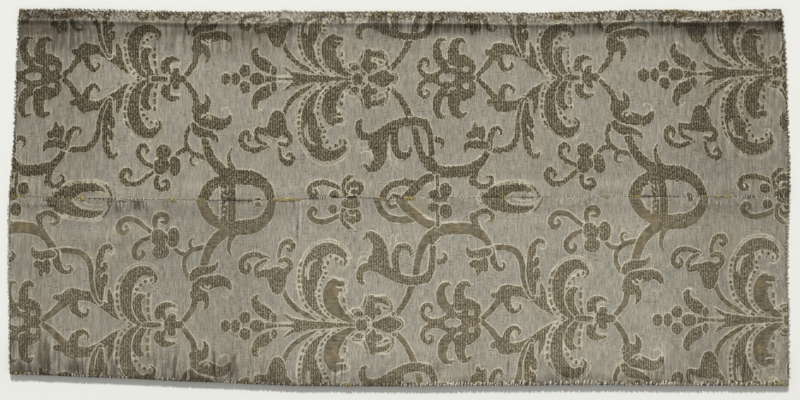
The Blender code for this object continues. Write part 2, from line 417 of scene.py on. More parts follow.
def rosette_leaf(c):
    path = stroke((354, 0.5, 2), (338, 5.5, 3.4), (323, 12.5, 4.4), (311.5, 23, 5), (307, 36, 5.4),
        (306.5, 50, 5.6), (310, 63, 6.2), (318, 73, 6.8), (329, 77, 5.8), (339, 74, 4.2), (345.2, 67, 2.2),
        (344, 60.5, 0.8))
    c.draw([path, stroke((312, 36, 3), (314, 47, 5.2), (317, 57, 5.4), (318.5, 64, 4))])
    ladder(c, path, -1, gap=4.5, pitch=6.2, first=0.16, last=0.62)
    ladder(c, path, -1, gap=3.4, first=0.62, last=0.96, rungs=False)
    c.line([(304.6, 49), (305.4, 56), (309.5, 63.5)], width=1)
    c.line([(307.5, 46), (307.6, 54), (310.5, 62), (316, 65.5)], width=1.1)
    c.draw([], plain=[
        stroke((352, 1.5, 1.8), (345, 6, 3.2), (337, 12, 5.2), (330.5, 20, 7), (328.8, 30, 7.4),
            (330.5, 37.5, 6.6), (333, 42.5, 4.2)),
        blob(339.5, 41, 3.6, 3.8), blob(337.5, 35, 3.4, 3),
    ], outline=1)
    c.line([(336, 28.5), (339, 30.5), (338, 33)], width=0.9)
    c.line([(334.5, 38.5), (338, 37.6), (341, 38.2)], width=0.9)
    c.line([(343, 28), (342, 31), (345, 34), (344, 38), (346.2, 42), (343.5, 46.3), (338, 46.8), (334, 49),
        (329, 48)], width=1.1)
    left_edge = stroke((340, 5.5, 1), (329, 12, 1), (321.8, 21, 1), (320.2, 31, 1), (321.3, 40, 1),
        (324, 46, 1))
    ladder(c, left_edge, -1, gap=3.4, pitch=5.2)
    right_edge = stroke((347, 7, 1), (340.5, 13, 1), (339.3, 20, 1), (339, 27, 1))
    ladder(c, right_edge, 1, gap=4, pitch=5.6)
    blocks(c, [(322.5, 48), (325, 52.5), (323.5, 58), (327, 62.5), (330, 68.5), (336, 66.5),
        (340.5, 63)], along=1.8, down=1.8)
    c.line([(346, 66), (348.5, 68), (347.5, 61), (343, 57), (338, 57.5)])


def spike(c):
    c.draw([
        stroke((284, 11.5, 0.8), (291, 6.5, 1.6), (301, 3.5, 2.2), (314, 1.5, 2.2)),
        stroke((276, 0, 1.4), (290, 0, 1.5), (298, 0, 3.4), (312, 0, 3.8), (330, 0, 2.6), (352, 0, 1.2)),
    ])
    c.line([(290, 4.2), (286, 3.2), (278, 2.8)], width=1.1)


def bell(c):
    c.draw([], plain=[
        stroke((352, 1.5, 1.6), (333, 3.5, 2), (317, 6.5, 2.2), (304, 11.5, 2.3), (294, 18.5, 2.4),
            (287, 27, 2.4), (283.5, 36, 2.4)),
    ])
    c.draw([
        stroke((279, 66, 1.7), (279.5, 74, 1.9), (283, 82, 2.5), (289.5, 84, 2.7), (293.3, 79.5, 2.5),
            (290, 75, 2), (286.8, 78, 0.9)),
    ])
    c.draw([
        stroke((267, 67, 2.6), (256, 71, 2.7), (247, 69.5, 2.9), (241.3, 63, 2.9), (242.3, 56, 2.7),
            (247, 53.8, 2.5), (249.5, 58.5, 1.9), (247.5, 63, 1)),
    ])
    c.draw([
        stroke((286, 54, 3.4), (290, 59, 2.8), (288.5, 64.5, 2.5), (283.5, 66, 2.2), (279.5, 64, 1.8)),
        stroke((272, 52, 4.8), (264, 52.5, 3.6), (257.5, 51, 2.7), (256, 57, 2.2), (259.5, 62.5, 1.9),
            (266, 65.5, 1.6)),
        stroke((277.4, 37, 6.2), (277.4, 43, 8.6), (277, 49, 10)),
    ])
    c.line([(262.5, 57.5), (266.5, 60.5), (271, 62)], width=1)
    c.line([(281.5, 60.8), (285, 61.8), (287, 59.5)], width=1)


def berries(c):
    c.draw([stroke((262, 0, 3.4), (275, 0, 2.2))])
    c.draw([stroke((272, 8.5, 4), (264, 13.8, 6.2), (257.2, 19.5, 4.6), (254.5, 26, 3.2), (257, 30, 1.6))])
    c.line([(257, 31.7), (261.5, 31), (263.5, 27.5)])
    c.draw([blob(274, 8, 3.2, 5)])
    c.draw([blob(257, 0, 7.6, 6.4)])
    c.draw([blob(235.6, 0, 4.6, 6.8)])
    c.draw([blob(245, 8.2, 5.6, 6)])
    c.draw([blob(226, 0, 4.7, 6.2)])


def small_flower(c):
    c.draw([stroke((153, 0, 2.2), (161, 0, 2.6), (166, 0, 1.6))], outline=1)
    c.draw([
        stroke((164.6, 8.5, 2.8), (164.6, 13.5, 3.8), (167.5, 17.8, 3.7), (172.5, 19.6, 2.6),
            (178, 18.4, 1.3)),
        stroke((169.5, 6.5, 1.8), (167.5, 11, 2.4), (166, 14, 3)),
        blob(175, 0, 5.4, 7.4), blob(176.2, 7.8, 3.6, 3.8), blob(182.2, 0, 4.4, 3.8),
    ])
    c.line([(168.8, -3), (168.7, 3), (167.6, 6.6)], width=1.1)
    c.line([(171.4, 10.2), (172, 14), (176, 15.2), (180, 14.8)], width=1.1)


def rosette(c):
    c.draw([
        stroke((366, 8.5, 5), (366.3, 14, 5.4), (367.5, 21, 3.8), (368, 26.5, 3.4)),
        blob(373, 13, 4.4, 3.8),
        stroke((370, 24.6, 2.6), (376, 24.8, 2.8), (381, 22.8, 2.5), (384.2, 19.8, 1.5)),
    ], outline=1)
    c.shade([(386.8, 13.5), (386.8, 18.5), (385, 23), (381, 27), (377, 28)], 2.4)
    c.shade([(373, 18), (377, 17.4), (381, 15.8), (384.5, 15.6)], 2.2)
    c.shade([(360.2, 17.5), (361.6, 22), (363, 28)], 2.2)
    c.shade([(349.6, 11.6), (350, 14.2), (352.6, 15.5), (356, 15.4), (358.6, 13.8)], 1.8)
    c.shade([(391, 5.6), (394.8, 4.8), (397, 2.2), (397, -3)], 1.8)
    c.line([(371.6, 17.6), (373.4, 19.9), (378.6, 19.2), (383, 17.4), (385.6, 16.4)], width=1)
    c.line([(377, 18.6), (378.4, 14.9), (381.4, 13.8), (384, 14.6)], width=1)
    c.line([(388.6, 14), (389, 18.6), (387.4, 24), (383, 28.4), (377.5, 29.4), (372.5, 29)], width=1)
    c.line([(362.2, 30), (361, 26.5), (359.3, 21.8), (356, 18.2)], width=1)
    c.draw([blob(355.2, 10.8, 4.5, 3)], outline=0.9)
    c.line([(359.5, 14.6), (356.2, 17), (351.7, 17.2), (348.2, 15.2), (347.2, 11.6)], width=1)
    c.draw([blob(388.6, 10.2, 2.2, 2)], outline=0.9)
    c.draw([
        stroke((368.5, 0, 3), (374, 0, 4), (379, 0, 6.6), (383.5, 0, 8.2)),
        blob(391, 0, 4.6, 4.4),
    ], outline=1)
    c.line([(391, 7.4), (395.7, 6.2), (398.8, 2.5), (398.8, -3)], width=1)
    c.draw([blob(356, 0, 3.7, 6), blob(360.2, 0, 2.4, 5.6)], outline=0.9)
    c.line([(366.6, -3), (366.3, 5.5), (362.4, 9)], width=1.1)


def flower_head(c):
    c.draw([
        stroke((440, 3, 4), (430, 1.5, 3.2), (422, 5, 2.7), (419, 12, 2.5), (422.5, 18, 2.3),
            (427, 18.3, 1.8), (428.6, 13.5, 1.1), (425.5, 11, 0.6)),
        stroke((455, 16, 7.2), (453.3, 27, 5.4), (456, 36, 4), (461, 38.5, 2.5), (464.5, 35.5, 1.2)),
        stroke((446, 12, 6), (458, 13, 10.6), (466, 10.5, 9.6)),
        stroke((440, 3, 4.6), (450, 8, 5)),
        stroke((455, 0, 6), (464, 0, 5.6), (473, 0, 2.6)),
    ], plain=[
        stroke((446, 11, 4.4), (438.8, 19, 4.5), (436.6, 29, 3.9), (438.8, 37, 2.7), (443.5, 39.5, 1.5),
            (446, 37, 0.6)),
    ])
    c.draw([blob(465.5, 8.6, 2.4, 2)], hole=True, outline=0.9)
    c.line([(447.5, 14.5), (450, 11.5), (455, 10.8)], width=0.9)
    c.draw([blob(446.8, 0, 7.2, 3.8)], hole=True, outline=0.9)


def palmette(c):
    c.draw([
        stroke((396, 46, 3.4), (394.5, 58, 3.6), (394.8, 68, 3.8), (398.3, 75.3, 3.7), (403.5, 77.6, 3.4),
            (408.5, 75.5, 2.8), (410.8, 71, 1.6), (409, 68.3, 0.7)),
        stroke((384, 54, 6), (380, 64, 7.8), (379.5, 76, 7.6), (376.5, 86, 5.4), (370, 90.5, 2.8),
            (363.5, 85, 1)),
        blob(372.5, 64.5, 5.2, 5.4),
        stroke((424, 45, 4.2), (428.5, 52, 3.2), (430.5, 62, 2.8), (431.5, 75, 3)),
        stroke((424, 45, 4.4), (411, 43, 4.4), (398, 45.5, 4.8), (386, 52, 5.4), (375, 57.5, 4.6),
            (366, 58, 4.2), (359.6, 54.5, 3.6), (358.2, 48, 3.2), (359.4, 43.4, 2.5), (362.3, 41.8, 1)),
    ])
    c.line([(389.5, 58), (389.3, 68), (389.5, 80)])
    c.line([(360.5, 73.5), (368, 73), (372, 75.5), (373, 81)])
    c.line([(357, 62), (360, 67.5), (366, 68.5)], width=1.1)
    c.line([(391, 80), (391, 87), (394, 89.5)], width=1.1)
    c.line([(396, 82), (397.5, 88), (401, 89)], width=1.1)


def draw_all(c):
    """Every motif in turn, each laid over those before it."""
    for motif in (seam_flower, crescent, second_ring, main_stem, bud_and_leaves, lower_stem, palmette,
            small_trefoil, trefoil, arm, hanging_leaf, bud, small_flower_leaf, bell, rosette_leaf, spike,
            berries, small_flower, rosette, flower_head):
        motif(c)


# Where the chart lies on the cloth
SQUARE = 0.00074        # metres to a square
MIDDLE_SQUARE = 399     # the square at x = 0
HALF_ROWS = 121         # rows from the mirror line to the seam
HEM_ROWS = 60           # rows from the mirror line to the hem

Place = namedtuple("Place", "x y")
Pull = namedtuple("Pull", "square along")
Gather = namedtuple("Gather", "row across")
Section = namedtuple("Section", "radius reach edge allowance slope_start slope_end")
Width = namedtuple("Width", (
    "node side hem mirror_line pull_at_hem pull_at_mirror pull_at_seam gather floats_show tone "
    "raggedness seed"))

CLOTH_THICKNESS = 0.0008
SEAM = Section(
    radius=0.0008, reach=0.0005, edge=0.0014, allowance=0.0065, slope_start=0.0045, slope_end=0.0150)
UPPER_PULL = table(Pull,
    (563, 0), (589, -1.5), (597, 0), (639, 4), (648, 6), (670, 5), (687, 6), (769, 7),
)
UPPER = Width(
    node="upper_width",
    side=1,
    hem=Section(
        radius=0.0013, reach=0.0013, edge=0.0013, allowance=0.0080, slope_start=0.0078, slope_end=0.0125),
    mirror_line=table(Place,
        (-0.2657, 0.0897), (-0.1843, 0.0879), (-0.0363, 0.0879), (0.0377, 0.0886), (0.0599, 0.0890),
        (0.1191, 0.0886), (0.1487, 0.0897), (0.1820, 0.0908), (0.2227, 0.0916), (0.2819, 0.0931),
    ),
    pull_at_hem=UPPER_PULL,
    pull_at_mirror=UPPER_PULL,
    pull_at_seam=table(Pull,
        (20, -9), (72, -9), (90, -2), (120, 0), (445, 0), (501, 13), (530, 14), (576, 14), (613, 18),
        (722, 18),
    ),
    gather=table(Gather,
        (-76, -67), (-37, -37), (130, 130),
    ),
    floats_show=False,
    tone=0.14,
    raggedness=0.85,
    seed=7,
)
LOWER = Width(
    node="lower_width",
    side=-1,
    hem=Section(
        radius=0.0019, reach=0.0019, edge=0.0019, allowance=0.0070, slope_start=0.0060, slope_end=0.0340),
    mirror_line=table(Place,
        (-0.2827, -0.0916), (-0.2583, -0.0920), (-0.2213, -0.0938), (-0.1917, -0.0942), (-0.1680, -0.0938),
        (-0.1288, -0.0949), (-0.0303, -0.0942), (0.0400, -0.0927), (0.0636, -0.0905), (0.1487, -0.0890),
        (0.1909, -0.0905), (0.2819, -0.0905),
    ),
    pull_at_hem=table(Pull,
        (33, -16), (66, -18), (94, -7), (110, -6), (150, -6), (184, -3), (235, 0), (286, 0), (391, 6),
        (421, 3), (446, 7), (479, 5), (507, 7), (589, 13), (597, 16), (648, 19), (710, 18),
    ),
    pull_at_mirror=table(Pull,
        (33, -16), (66, -22), (94, -12), (150, -9), (184, -3), (235, 0), (286, 0), (391, 6), (421, 3),
        (446, 7), (479, 5), (507, 7), (589, 13), (597, 16), (648, 19), (710, 18),
    ),
    pull_at_seam=table(Pull,
        (30, -16), (66, -15), (88, -3), (162, 0), (309, 0), (382, -4), (445, 0), (501, 13), (534, 17),
        (722, 20),
    ),
    gather=table(Gather,
        (-70, -70), (130, 130),
    ),
    floats_show=True,
    tone=0.0,
    raggedness=0.4,
    seed=11,
)


def column(line, name):
    return np.array([getattr(entry, name) for entry in line], dtype=float)


def read_line(line, key, value, at):
    """A table's value at each place, straight from entry to entry."""
    return np.interp(at, column(line, key), column(line, value))


SETTLING_ROUNDS = 12


def pulled(width, square, row):
    """How many squares the cloth is pulled along at each place of the chart."""
    at_hem, at_mirror, at_seam = (read_line(line, "square", "along", square) for line in (
        width.pull_at_hem, width.pull_at_mirror, width.pull_at_seam))
    to_seam, to_hem = np.clip(row / HALF_ROWS, 0, 1), np.clip(-row / HEM_ROWS, 0, 1)
    return at_mirror + to_seam * (at_seam - at_mirror) + to_hem * (at_hem - at_mirror)


def on_cloth(width, square, row):
    """Where places of the chart lie on the cloth."""
    x = (square + pulled(width, square, row) - MIDDLE_SQUARE) * SQUARE
    across = read_line(width.gather, "row", "across", row)
    return x, read_line(width.mirror_line, "x", "y", x) - width.side * across * SQUARE


def square_at(x):
    """Which square of the chart lies at each place along the panel, before any pull."""
    return x / SQUARE + MIDDLE_SQUARE


def on_chart(width, x, y):
    """Which places of the chart lie at places of the cloth, found again until the pull settles."""
    across = (read_line(width.mirror_line, "x", "y", x) - y) * width.side / SQUARE
    row = read_line(width.gather, "across", "row", across)
    there = square = square_at(x)
    for _ in range(SETTLING_ROUNDS):
        square = there - pulled(width, square, row)
    return square, row


def read_field(field, square, row):
    """A chart field between its samples, mirrored about row 0 and repeated along the cloth."""
    across = (square - FIRST) * FINE - 0.5
    down = (np.abs(row) - TOP_ROW) * FINE - 0.5
    left, top = np.floor(across).astype(int), np.floor(down).astype(int)
    share_x, share_y = across - left, down - top
    columns = (left % field.shape[1], (left + 1) % field.shape[1])
    rows = (np.clip(top, 0, field.shape[0] - 1), np.clip(top + 1, 0, field.shape[0] - 1))
    upper = field[rows[0], columns[0]] * (1 - share_x) + field[rows[0], columns[1]] * share_x
    lower = field[rows[1], columns[0]] * (1 - share_x) + field[rows[1], columns[1]] * share_x
    return upper * (1 - share_y) + lower * share_y


# The outline of each width, measured on its CAD solid
OUTLINE_SPACING = 0.0015


class Border:
    """A width's four edges in plan: the hemmed line, the seam line and the two cut ends."""

    def __init__(self, node, side):
        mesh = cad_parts[node].data
        points = np.array([vertex.co for vertex in mesh.vertices])
        edges = np.array([edge.vertices[:] for edge in mesh.edges])
        self.side = side
        self.ends = [points[edges[:, 0]], points[edges[:, 1]]]
        self.corners = [points[np.argmax(points[:, 0] * along + points[:, 1] * across * side), :2]
                        for along, across in ((-1, 1), (1, 1), (1, -1), (-1, -1))]
        self.outer, self.right, self.seam, self.left = (
            self.line(self.corners[number], self.corners[(number + 1) % 4], number % 2, turn)
            for number, turn in enumerate((side, 1, -side, -1)))

    def line(self, start, stop, key, turn):
        """The outermost crossings of the solid's edges between two corners."""
        value = 1 - key
        low, high = sorted((start[key], stop[key]))
        a, b = self.ends
        line = [start, stop]
        for place in np.arange(low + OUTLINE_SPACING / 2, high - OUTLINE_SPACING / 3, OUTLINE_SPACING):
            crossing = (a[:, key] - place) * (b[:, key] - place) < 0
            p, q = a[crossing], b[crossing]
            share = (place - p[:, key]) / (q[:, key] - p[:, key])
            reach = turn * (turn * (p[:, value] + share * (q[:, value] - p[:, value]))).max()
            line.append((place, reach) if key == 0 else (reach, place))
        line = np.array([tuple(point) for point in line])
        line = line[np.argsort(line[:, key])]
        return line[:, key], line[:, value]

    def outer_y(self, x):
        return np.interp(x, *self.outer)

    def seam_y(self, x):
        return np.interp(x, *self.seam)

    def left_x(self, y):
        return np.interp(y, *self.left)

    def right_x(self, y):
        return np.interp(y, *self.right)

    def from_outer(self, x, y):
        return (self.outer_y(x) - y) * self.side

    def from_seam(self, x, y):
        return (y - self.seam_y(x)) * self.side

    def ring(self, spacing):
        """Points round the outline, one after another."""
        runs = []
        for number, (start, key, line) in enumerate(zip(
                self.corners, (0, 1, 0, 1), (self.outer_y, self.right_x, self.seam_y, self.left_x))):
            stop = self.corners[(number + 1) % 4]
            steps = int(abs(stop[key] - start[key]) / spacing)
            places = np.linspace(start[key], stop[key], steps)[:-1]
            runs.append(np.stack([places, line(places)] if key == 0 else [line(places), places], axis=1))
        return np.vstack(runs)


# The heights of the cloth
Ridge = namedtuple("Ridge", "x y half_length half_width height angle")
Puckers = namedtuple("Puckers", "first last pitch depth length angle height")
# Narrow folds that catch the light, then rows of tucks in squares, then broad swells
FOLDS = table(Ridge,
    (-0.0733, -0.0194, 0.0165, 0.0015, 0.0010, 88), (-0.0702, -0.0204, 0.0135, 0.0012, 0.0006, 87),
    (-0.2565, -0.1195, 0.0160, 0.0026, 0.0012, 90), (-0.2383, -0.1250, 0.0080, 0.0018, 0.0008, 86),
    (-0.1635, -0.1257, 0.0115, 0.0026, 0.0012, 85), (-0.1347, -0.1240, 0.0125, 0.0018, 0.0012, 93),
    (-0.1207, -0.1262, 0.0115, 0.0028, 0.0012, 81), (-0.0410, -0.1290, 0.0085, 0.0015, 0.0009, 90),
    (0.0821, -0.1270, 0.0090, 0.0016, 0.0009, 88), (0.1968, -0.1240, 0.0085, 0.0015, 0.0009, 92),
    (0.2560, -0.1270, 0.0080, 0.0014, 0.0008, 85),
)
PUCKERS = table(Puckers,
    (20, 58, 3.1, 5.0, 4.6, 66, 0.0007), (114, 151, 3.3, 5.5, 5.6, 88, 0.0010),
    (166, 190, 4.6, 4.5, 4.0, 92, 0.0004), (296, 312, 4.0, 5.0, 5.0, 88, 0.0005),
    (560, 600, 5.2, 4.5, 4.2, 90, 0.0004), (690, 760, 5.4, 4.5, 4.4, 90, 0.0004),
)
SEAM_MIDDLE_Y = -0.0006
# How unevenly the seam's tucks are set, as shares of what their own row says, and the degrees they lean
PUCKER_SEED = 23
PUCKER_LENGTHS = (0.6, 1.35)
PUCKER_DEPTHS = (0.85, 1.2)
PUCKER_HEIGHTS = (0.6, 1.2)
PUCKER_STEPS = (0.7, 1.4)
PUCKER_LEANS = (-8, 8)
PUCKER_HALF_WIDTH = 0.42    # of the pitch
PUCKER_SHIFT = 0.3          # how much farther from the seam a longer tuck lies, of its length


def seam_puckers():
    """The short tucks that the sewing draws in beside the seam, uneven in length and lean."""
    chance = random.Random(PUCKER_SEED)
    puckers = []
    for run in PUCKERS:
        square = run.first
        while square < run.last:
            length = run.length * chance.uniform(*PUCKER_LENGTHS)
            from_seam = run.depth * chance.uniform(*PUCKER_DEPTHS) * SQUARE
            puckers.append((
                (square - MIDDLE_SQUARE) * SQUARE,
                SEAM_MIDDLE_Y - from_seam - length * PUCKER_SHIFT * SQUARE,
                length * SQUARE,
                run.pitch * PUCKER_HALF_WIDTH * SQUARE,
                run.height * chance.uniform(*PUCKER_HEIGHTS),
                run.angle + chance.uniform(*PUCKER_LEANS)))
            square += run.pitch * chance.uniform(*PUCKER_STEPS)
    return table(Ridge, *puckers)


# The seam's tucks join the narrow folds, and like them get a painted highlight on the crest and painted shade
# beside it
FOLDS += seam_puckers()
RIDGES = FOLDS + table(Ridge,
    (-0.2590, -0.1180, 0.0200, 0.0060, 0.0012, 90), (-0.2370, -0.1250, 0.0110, 0.0050, 0.0006, 88),
    (-0.2100, -0.1260, 0.0120, 0.0050, 0.0007, 93), (-0.1900, -0.1240, 0.0140, 0.0060, 0.0008, 92),
    (-0.1640, -0.1260, 0.0130, 0.0050, 0.0008, 85), (-0.1330, -0.1190, 0.0220, 0.0070, 0.0014, 86),
    (-0.1190, -0.1270, 0.0130, 0.0050, 0.0007, 82), (0.0680, -0.1240, 0.0150, 0.0070, 0.0008, 90),
    (-0.0730, -0.0180, 0.0200, 0.0060, 0.0008, 88), (-0.2430, -0.0160, 0.0160, 0.0080, 0.0009, 84),
    (-0.2030, -0.0110, 0.0090, 0.0050, 0.0007, 90), (-0.1870, -0.0100, 0.0090, 0.0050, 0.0006, 86),
    (-0.1330, 0.1090, 0.0500, 0.0090, 0.0011, -4), (0.0530, 0.0820, 0.0300, 0.0120, 0.0007, 60),
    (-0.2100, -0.0300, 0.0620, 0.0090, 0.0010, 6), (0.1900, -0.0300, 0.0500, 0.0110, 0.0006, -3),
)


def smooth_step(share):
    share = np.clip(share, 0, 1)
    return share * share * (3 - 2 * share)


def fade_in(value, start, length):
    """0 up to a start, 1 from a length beyond it, and a soft step between."""
    return smooth_step((value - start) / length)


def fade_out(value, start, length):
    return 1 - fade_in(value, start, length)


def from_ridge(ridge, x, y):
    """How far places are from a ridge's middle, in half lengths along it and in half widths to one side."""
    turn = math.radians(ridge.angle)
    dx, dy = x - ridge.x, y - ridge.y
    lengthwise = np.abs(dx * math.cos(turn) + dy * math.sin(turn)) / ridge.half_length
    return lengthwise, (dy * math.cos(turn) - dx * math.sin(turn)) / ridge.half_width


def ridge_height(x, y):
    """The sum of the soft ridges at each place, each as high as its own line says."""
    total = np.zeros(x.shape)
    for ridge in RIDGES:
        lengthwise, sideways = from_ridge(ridge, x, y)
        total += ridge.height * smooth_step(1 - lengthwise) * smooth_step(1 - np.abs(sideways))
    return total


def roll_share(section, away):
    """How far round its roll a turned edge has come at a plan distance in from its line."""
    inwards = np.clip(1 - away / section.reach, 0, 1)
    return np.sqrt(1 - inwards ** 2)


def roll_top(section, away):
    """Height of the top of a turned edge at a plan distance in from its line."""
    slope = smooth_step((away - section.slope_start) / (section.slope_end - section.slope_start))
    full = 2 * section.radius
    return section.edge + roll_share(section, away) * (full - section.edge) + slope * (CLOTH_THICKNESS - full)


def roll_under(section, away, top):
    """Height of the underside: what is turned under lies flat, then a step up to the single cloth."""
    turned = section.edge * (1 - roll_share(section, away))
    return np.where(away < section.allowance, turned, np.maximum(0, top - CLOTH_THICKNESS))


BROCADE_HEIGHT = 0.00028
FLAT_RIM = 0.0012       # how far in from its edge the cloth's own ridges have faded out


def heights(width, border, x, y, square, row):
    """Heights of the cloth's top and underside at each place."""
    from_outer, from_seam = border.from_outer(x, y), border.from_seam(x, y)
    near_outer = from_outer < from_seam
    base = np.where(near_outer, roll_top(width.hem, from_outer), roll_top(SEAM, from_seam))
    away = np.minimum(from_outer, from_seam)
    inside = smooth_step(away / FLAT_RIM)
    lift = (ridge_height(x, y) + unevenness(x, y)) * inside
    top = base + lift
    under = np.where(near_outer, roll_under(width.hem, from_outer, top), roll_under(SEAM, from_seam, top))
    raised = smooth_step(1 - read_field(CHART.fill, square, row) / OUTLINE)
    return top + BROCADE_HEIGHT * raised * inside, np.minimum(under, top)


def unevenness(x, y):
    """Slow waves of no fixed direction, as old cloth has."""
    upright = 0.00007 * np.sin(x / 0.0093 + 1.7 * np.sin(y / 0.017))
    level = 0.00006 * np.sin(y / 0.0071 + 1.3 * np.sin(x / 0.013) + 0.8)
    return upright + level + 0.00005 * np.sin((x + 0.6 * y) / 0.0049 + 2.1)


# The pattern's edges as short straight lines
CORNER_BITS = (1, 2, 4, 8)
SEGMENTS = {
    1: (("left", "top"),), 2: (("top", "right"),), 3: (("left", "right"),), 4: (("right", "bottom"),),
    5: (("left", "top"), ("right", "bottom")), 6: (("top", "bottom"),), 7: (("left", "bottom"),),
    8: (("left", "bottom"),), 9: (("top", "bottom"),), 10: (("top", "right"), ("left", "bottom")),
    11: (("right", "bottom"),), 12: (("left", "right"),), 13: (("top", "right"),), 14: (("left", "top"),),
}
NEAREST_CORNER = 0.12   # least share of a cell's side between its corner and the pattern's edge


def contour(field, squares, rows):
    """Points and edges where a field sampled at these squares and rows passes through zero."""
    inside = field < 0
    points, ids = [], {}
    count = 0
    for name, a, b in (("flat", field[:, :-1], field[:, 1:]), ("upright", field[:-1], field[1:])):
        j, i = np.nonzero((a < 0) != (b < 0))
        share = np.clip(a[j, i] / (a[j, i] - b[j, i]), NEAREST_CORNER, 1 - NEAREST_CORNER)
        if name == "flat":
            place = np.stack([squares[i] + share * (squares[i + 1] - squares[i]), rows[j]], axis=1)
        else:
            place = np.stack([squares[i], rows[j] + share * (rows[j + 1] - rows[j])], axis=1)
        ids[name] = np.full(a.shape, -1)
        ids[name][j, i] = np.arange(count, count + len(j))
        count += len(j)
        points.append(place)
    sides = {
        "top": ids["flat"][:-1], "bottom": ids["flat"][1:],
        "left": ids["upright"][:, :-1], "right": ids["upright"][:, 1:],
    }
    corners = (inside[:-1, :-1], inside[:-1, 1:], inside[1:, 1:], inside[1:, :-1])
    code = sum(bit * corner.astype(int) for bit, corner in zip(CORNER_BITS, corners))
    edges = []
    for number, lines in SEGMENTS.items():
        cells = code == number
        for a, b in lines:
            edges.append(np.stack([sides[a][cells], sides[b][cells]], axis=1))
    return np.vstack(points), np.vstack(edges)


# Spacings in squares, but for those of the ring and of the rows beside turned edges, which are in metres
CONTOUR_STEP = 0.8
COLUMN_SQUARES = 2.4
RAGGED_STEP = 1.9
GRID_SPACING = 3.3
UNDER_GRID_SPACING = 5.0
RING_SPACING = 0.0012
UNDER_ROW_SPACING = 0.0024
UNDER_ROW_INSET = 0.0008
CLEAR_OF_LINES = 0.55
CLEAR_OF_ENDS = 0.0006
ROLL_ANGLES = (20, 40, 62, 90)
SLOPE_SHARES = (0, 0.25, 0.5, 0.75, 1)
FOLD_POINTS = (14, 7)   # loose points along each narrow fold and across it
GRID_UNEVEN = 0.2       # how far a loose point may lie off its grid, of the spacing
GRID_CLEAR = 1.3        # how clear of the rolls loose points are kept, in reaches of the roll
FOLD_CLEAR = 1.2
SHARP_ANGLE = 50        # degrees from which an edge is shaded sharp
RAGGED_SIZE = 64
RAGGED_ALONG = 0.45     # how uneven the threads run along the cloth, of their unevenness across it
RAGGED = np.random.default_rng(3).uniform(-1, 1, (RAGGED_SIZE, RAGGED_SIZE))


def ragged(width, square, row):
    """Where the loom takes each place from: whole threads, so that every edge runs in small uneven steps."""
    number = np.floor(square / COLUMN_SQUARES).astype(int) % RAGGED_SIZE
    step = np.floor(np.abs(row) / RAGGED_STEP).astype(int) % RAGGED_SIZE
    uneven = width.raggedness * RAGGED
    return square + RAGGED_ALONG * uneven[step, number], row + uneven[number, step] * np.sign(row)


CLEAR_OF_PALE = 0.9     # squares between a float's edge and a pale outline
NOT_A_FLOAT = 9.0       # what a place nearer to an outline holds in place of its distance from a float


def pattern_lines(width, low, high):
    """The pattern's edges between two corners of the chart."""
    squares = np.arange(low[0], high[0], CONTOUR_STEP)
    rows = np.arange(low[1], high[1], CONTOUR_STEP)
    grid_x, grid_y = np.meshgrid(squares, rows)
    taken = ragged(width, grid_x, grid_y)
    pale = read_field(CHART.pale, *taken)
    points, edges = contour(pale, squares, rows)
    if width.floats_show:
        both = np.where(pale > CLEAR_OF_PALE, read_field(CHART.plain, *taken), NOT_A_FLOAT)
        more, more_edges = contour(both, squares, rows)
        edges = np.vstack([edges, more_edges + len(points)])
        points = np.vstack([points, more])
    return points, edges


def edge_rows(width, border, spacing, inset, joined):
    """Rows of points beside both turned edges: on each roll, where they may be joined, then on its slope."""
    points, edges = [], []
    count = 0
    both = ((width.hem, border.outer_y, border.corners[:2], width.side),
            (SEAM, border.seam_y, border.corners[2:], -width.side))
    for section, line, corners, turn in both:
        left, right = sorted(corner[0] for corner in corners)
        x = np.linspace(left + inset, right - inset, int((right - left) / spacing))
        roll = [section.reach * (1 - math.cos(math.radians(angle))) for angle in ROLL_ANGLES]
        slope_length = section.slope_end - section.slope_start
        slope = [section.slope_start + share * slope_length for share in SLOPE_SHARES]
        for number, away in enumerate(roll + slope):
            points.append(np.stack(on_chart(width, x, line(x) - turn * away), axis=1))
            if joined and number < len(roll):
                start = np.arange(count, count + len(x) - 1)
                edges.append(np.stack([start, start + 1], axis=1))
            count += len(x)
    edges = np.vstack(edges) if edges else np.zeros((0, 2), dtype=int)
    return np.vstack(points), edges


def off_the_rolls(width, border, x, y, times):
    """Which places lie farther in than this many times the reach of each turned edge's roll."""
    return (border.from_outer(x, y) > width.hem.reach * times) & (border.from_seam(x, y) > SEAM.reach * times)


def inner_grid(width, border, ring, spacing, keep_clear, random_state):
    """Loose points over the middle of the cloth, staggered, kept clear of the pattern's lines."""
    low, high = ring.min(axis=0), ring.max(axis=0)
    squares, rows = np.meshgrid(np.arange(low[0], high[0], spacing), np.arange(low[1], high[1], spacing))
    squares = squares + 0.5 * spacing * (np.arange(rows.shape[0]) % 2)[:, None]
    squares, rows = (
        (places + random_state.uniform(-GRID_UNEVEN, GRID_UNEVEN, places.shape) * spacing).ravel()
        for places in (squares, rows))
    x, y = on_cloth(width, squares, rows)
    clear = off_the_rolls(width, border, x, y, GRID_CLEAR)
    clear &= (x > border.left_x(y) + CLEAR_OF_ENDS) & (x < border.right_x(y) - CLEAR_OF_ENDS)
    if keep_clear:
        clear &= np.abs(read_field(CHART.pale, *ragged(width, squares, rows))) > keep_clear
    return np.stack([squares[clear], rows[clear]], axis=1)


CLOSEST = 0.004         # squares within which two points become one


def triangulate(points, edges, ring_count):
    """Triangles inside the ring, which is the first ring_count points."""
    ring = list(range(ring_count))
    verts, _, faces, _, _, origins = delaunay_2d_cdt(
        [tuple(p) for p in points], [tuple(e) for e in edges], [ring], 0, CLOSEST, True)
    kept = [face for face, origin in zip(faces, origins) if origin]
    return np.array([(v[0], v[1]) for v in verts]), np.array(kept)


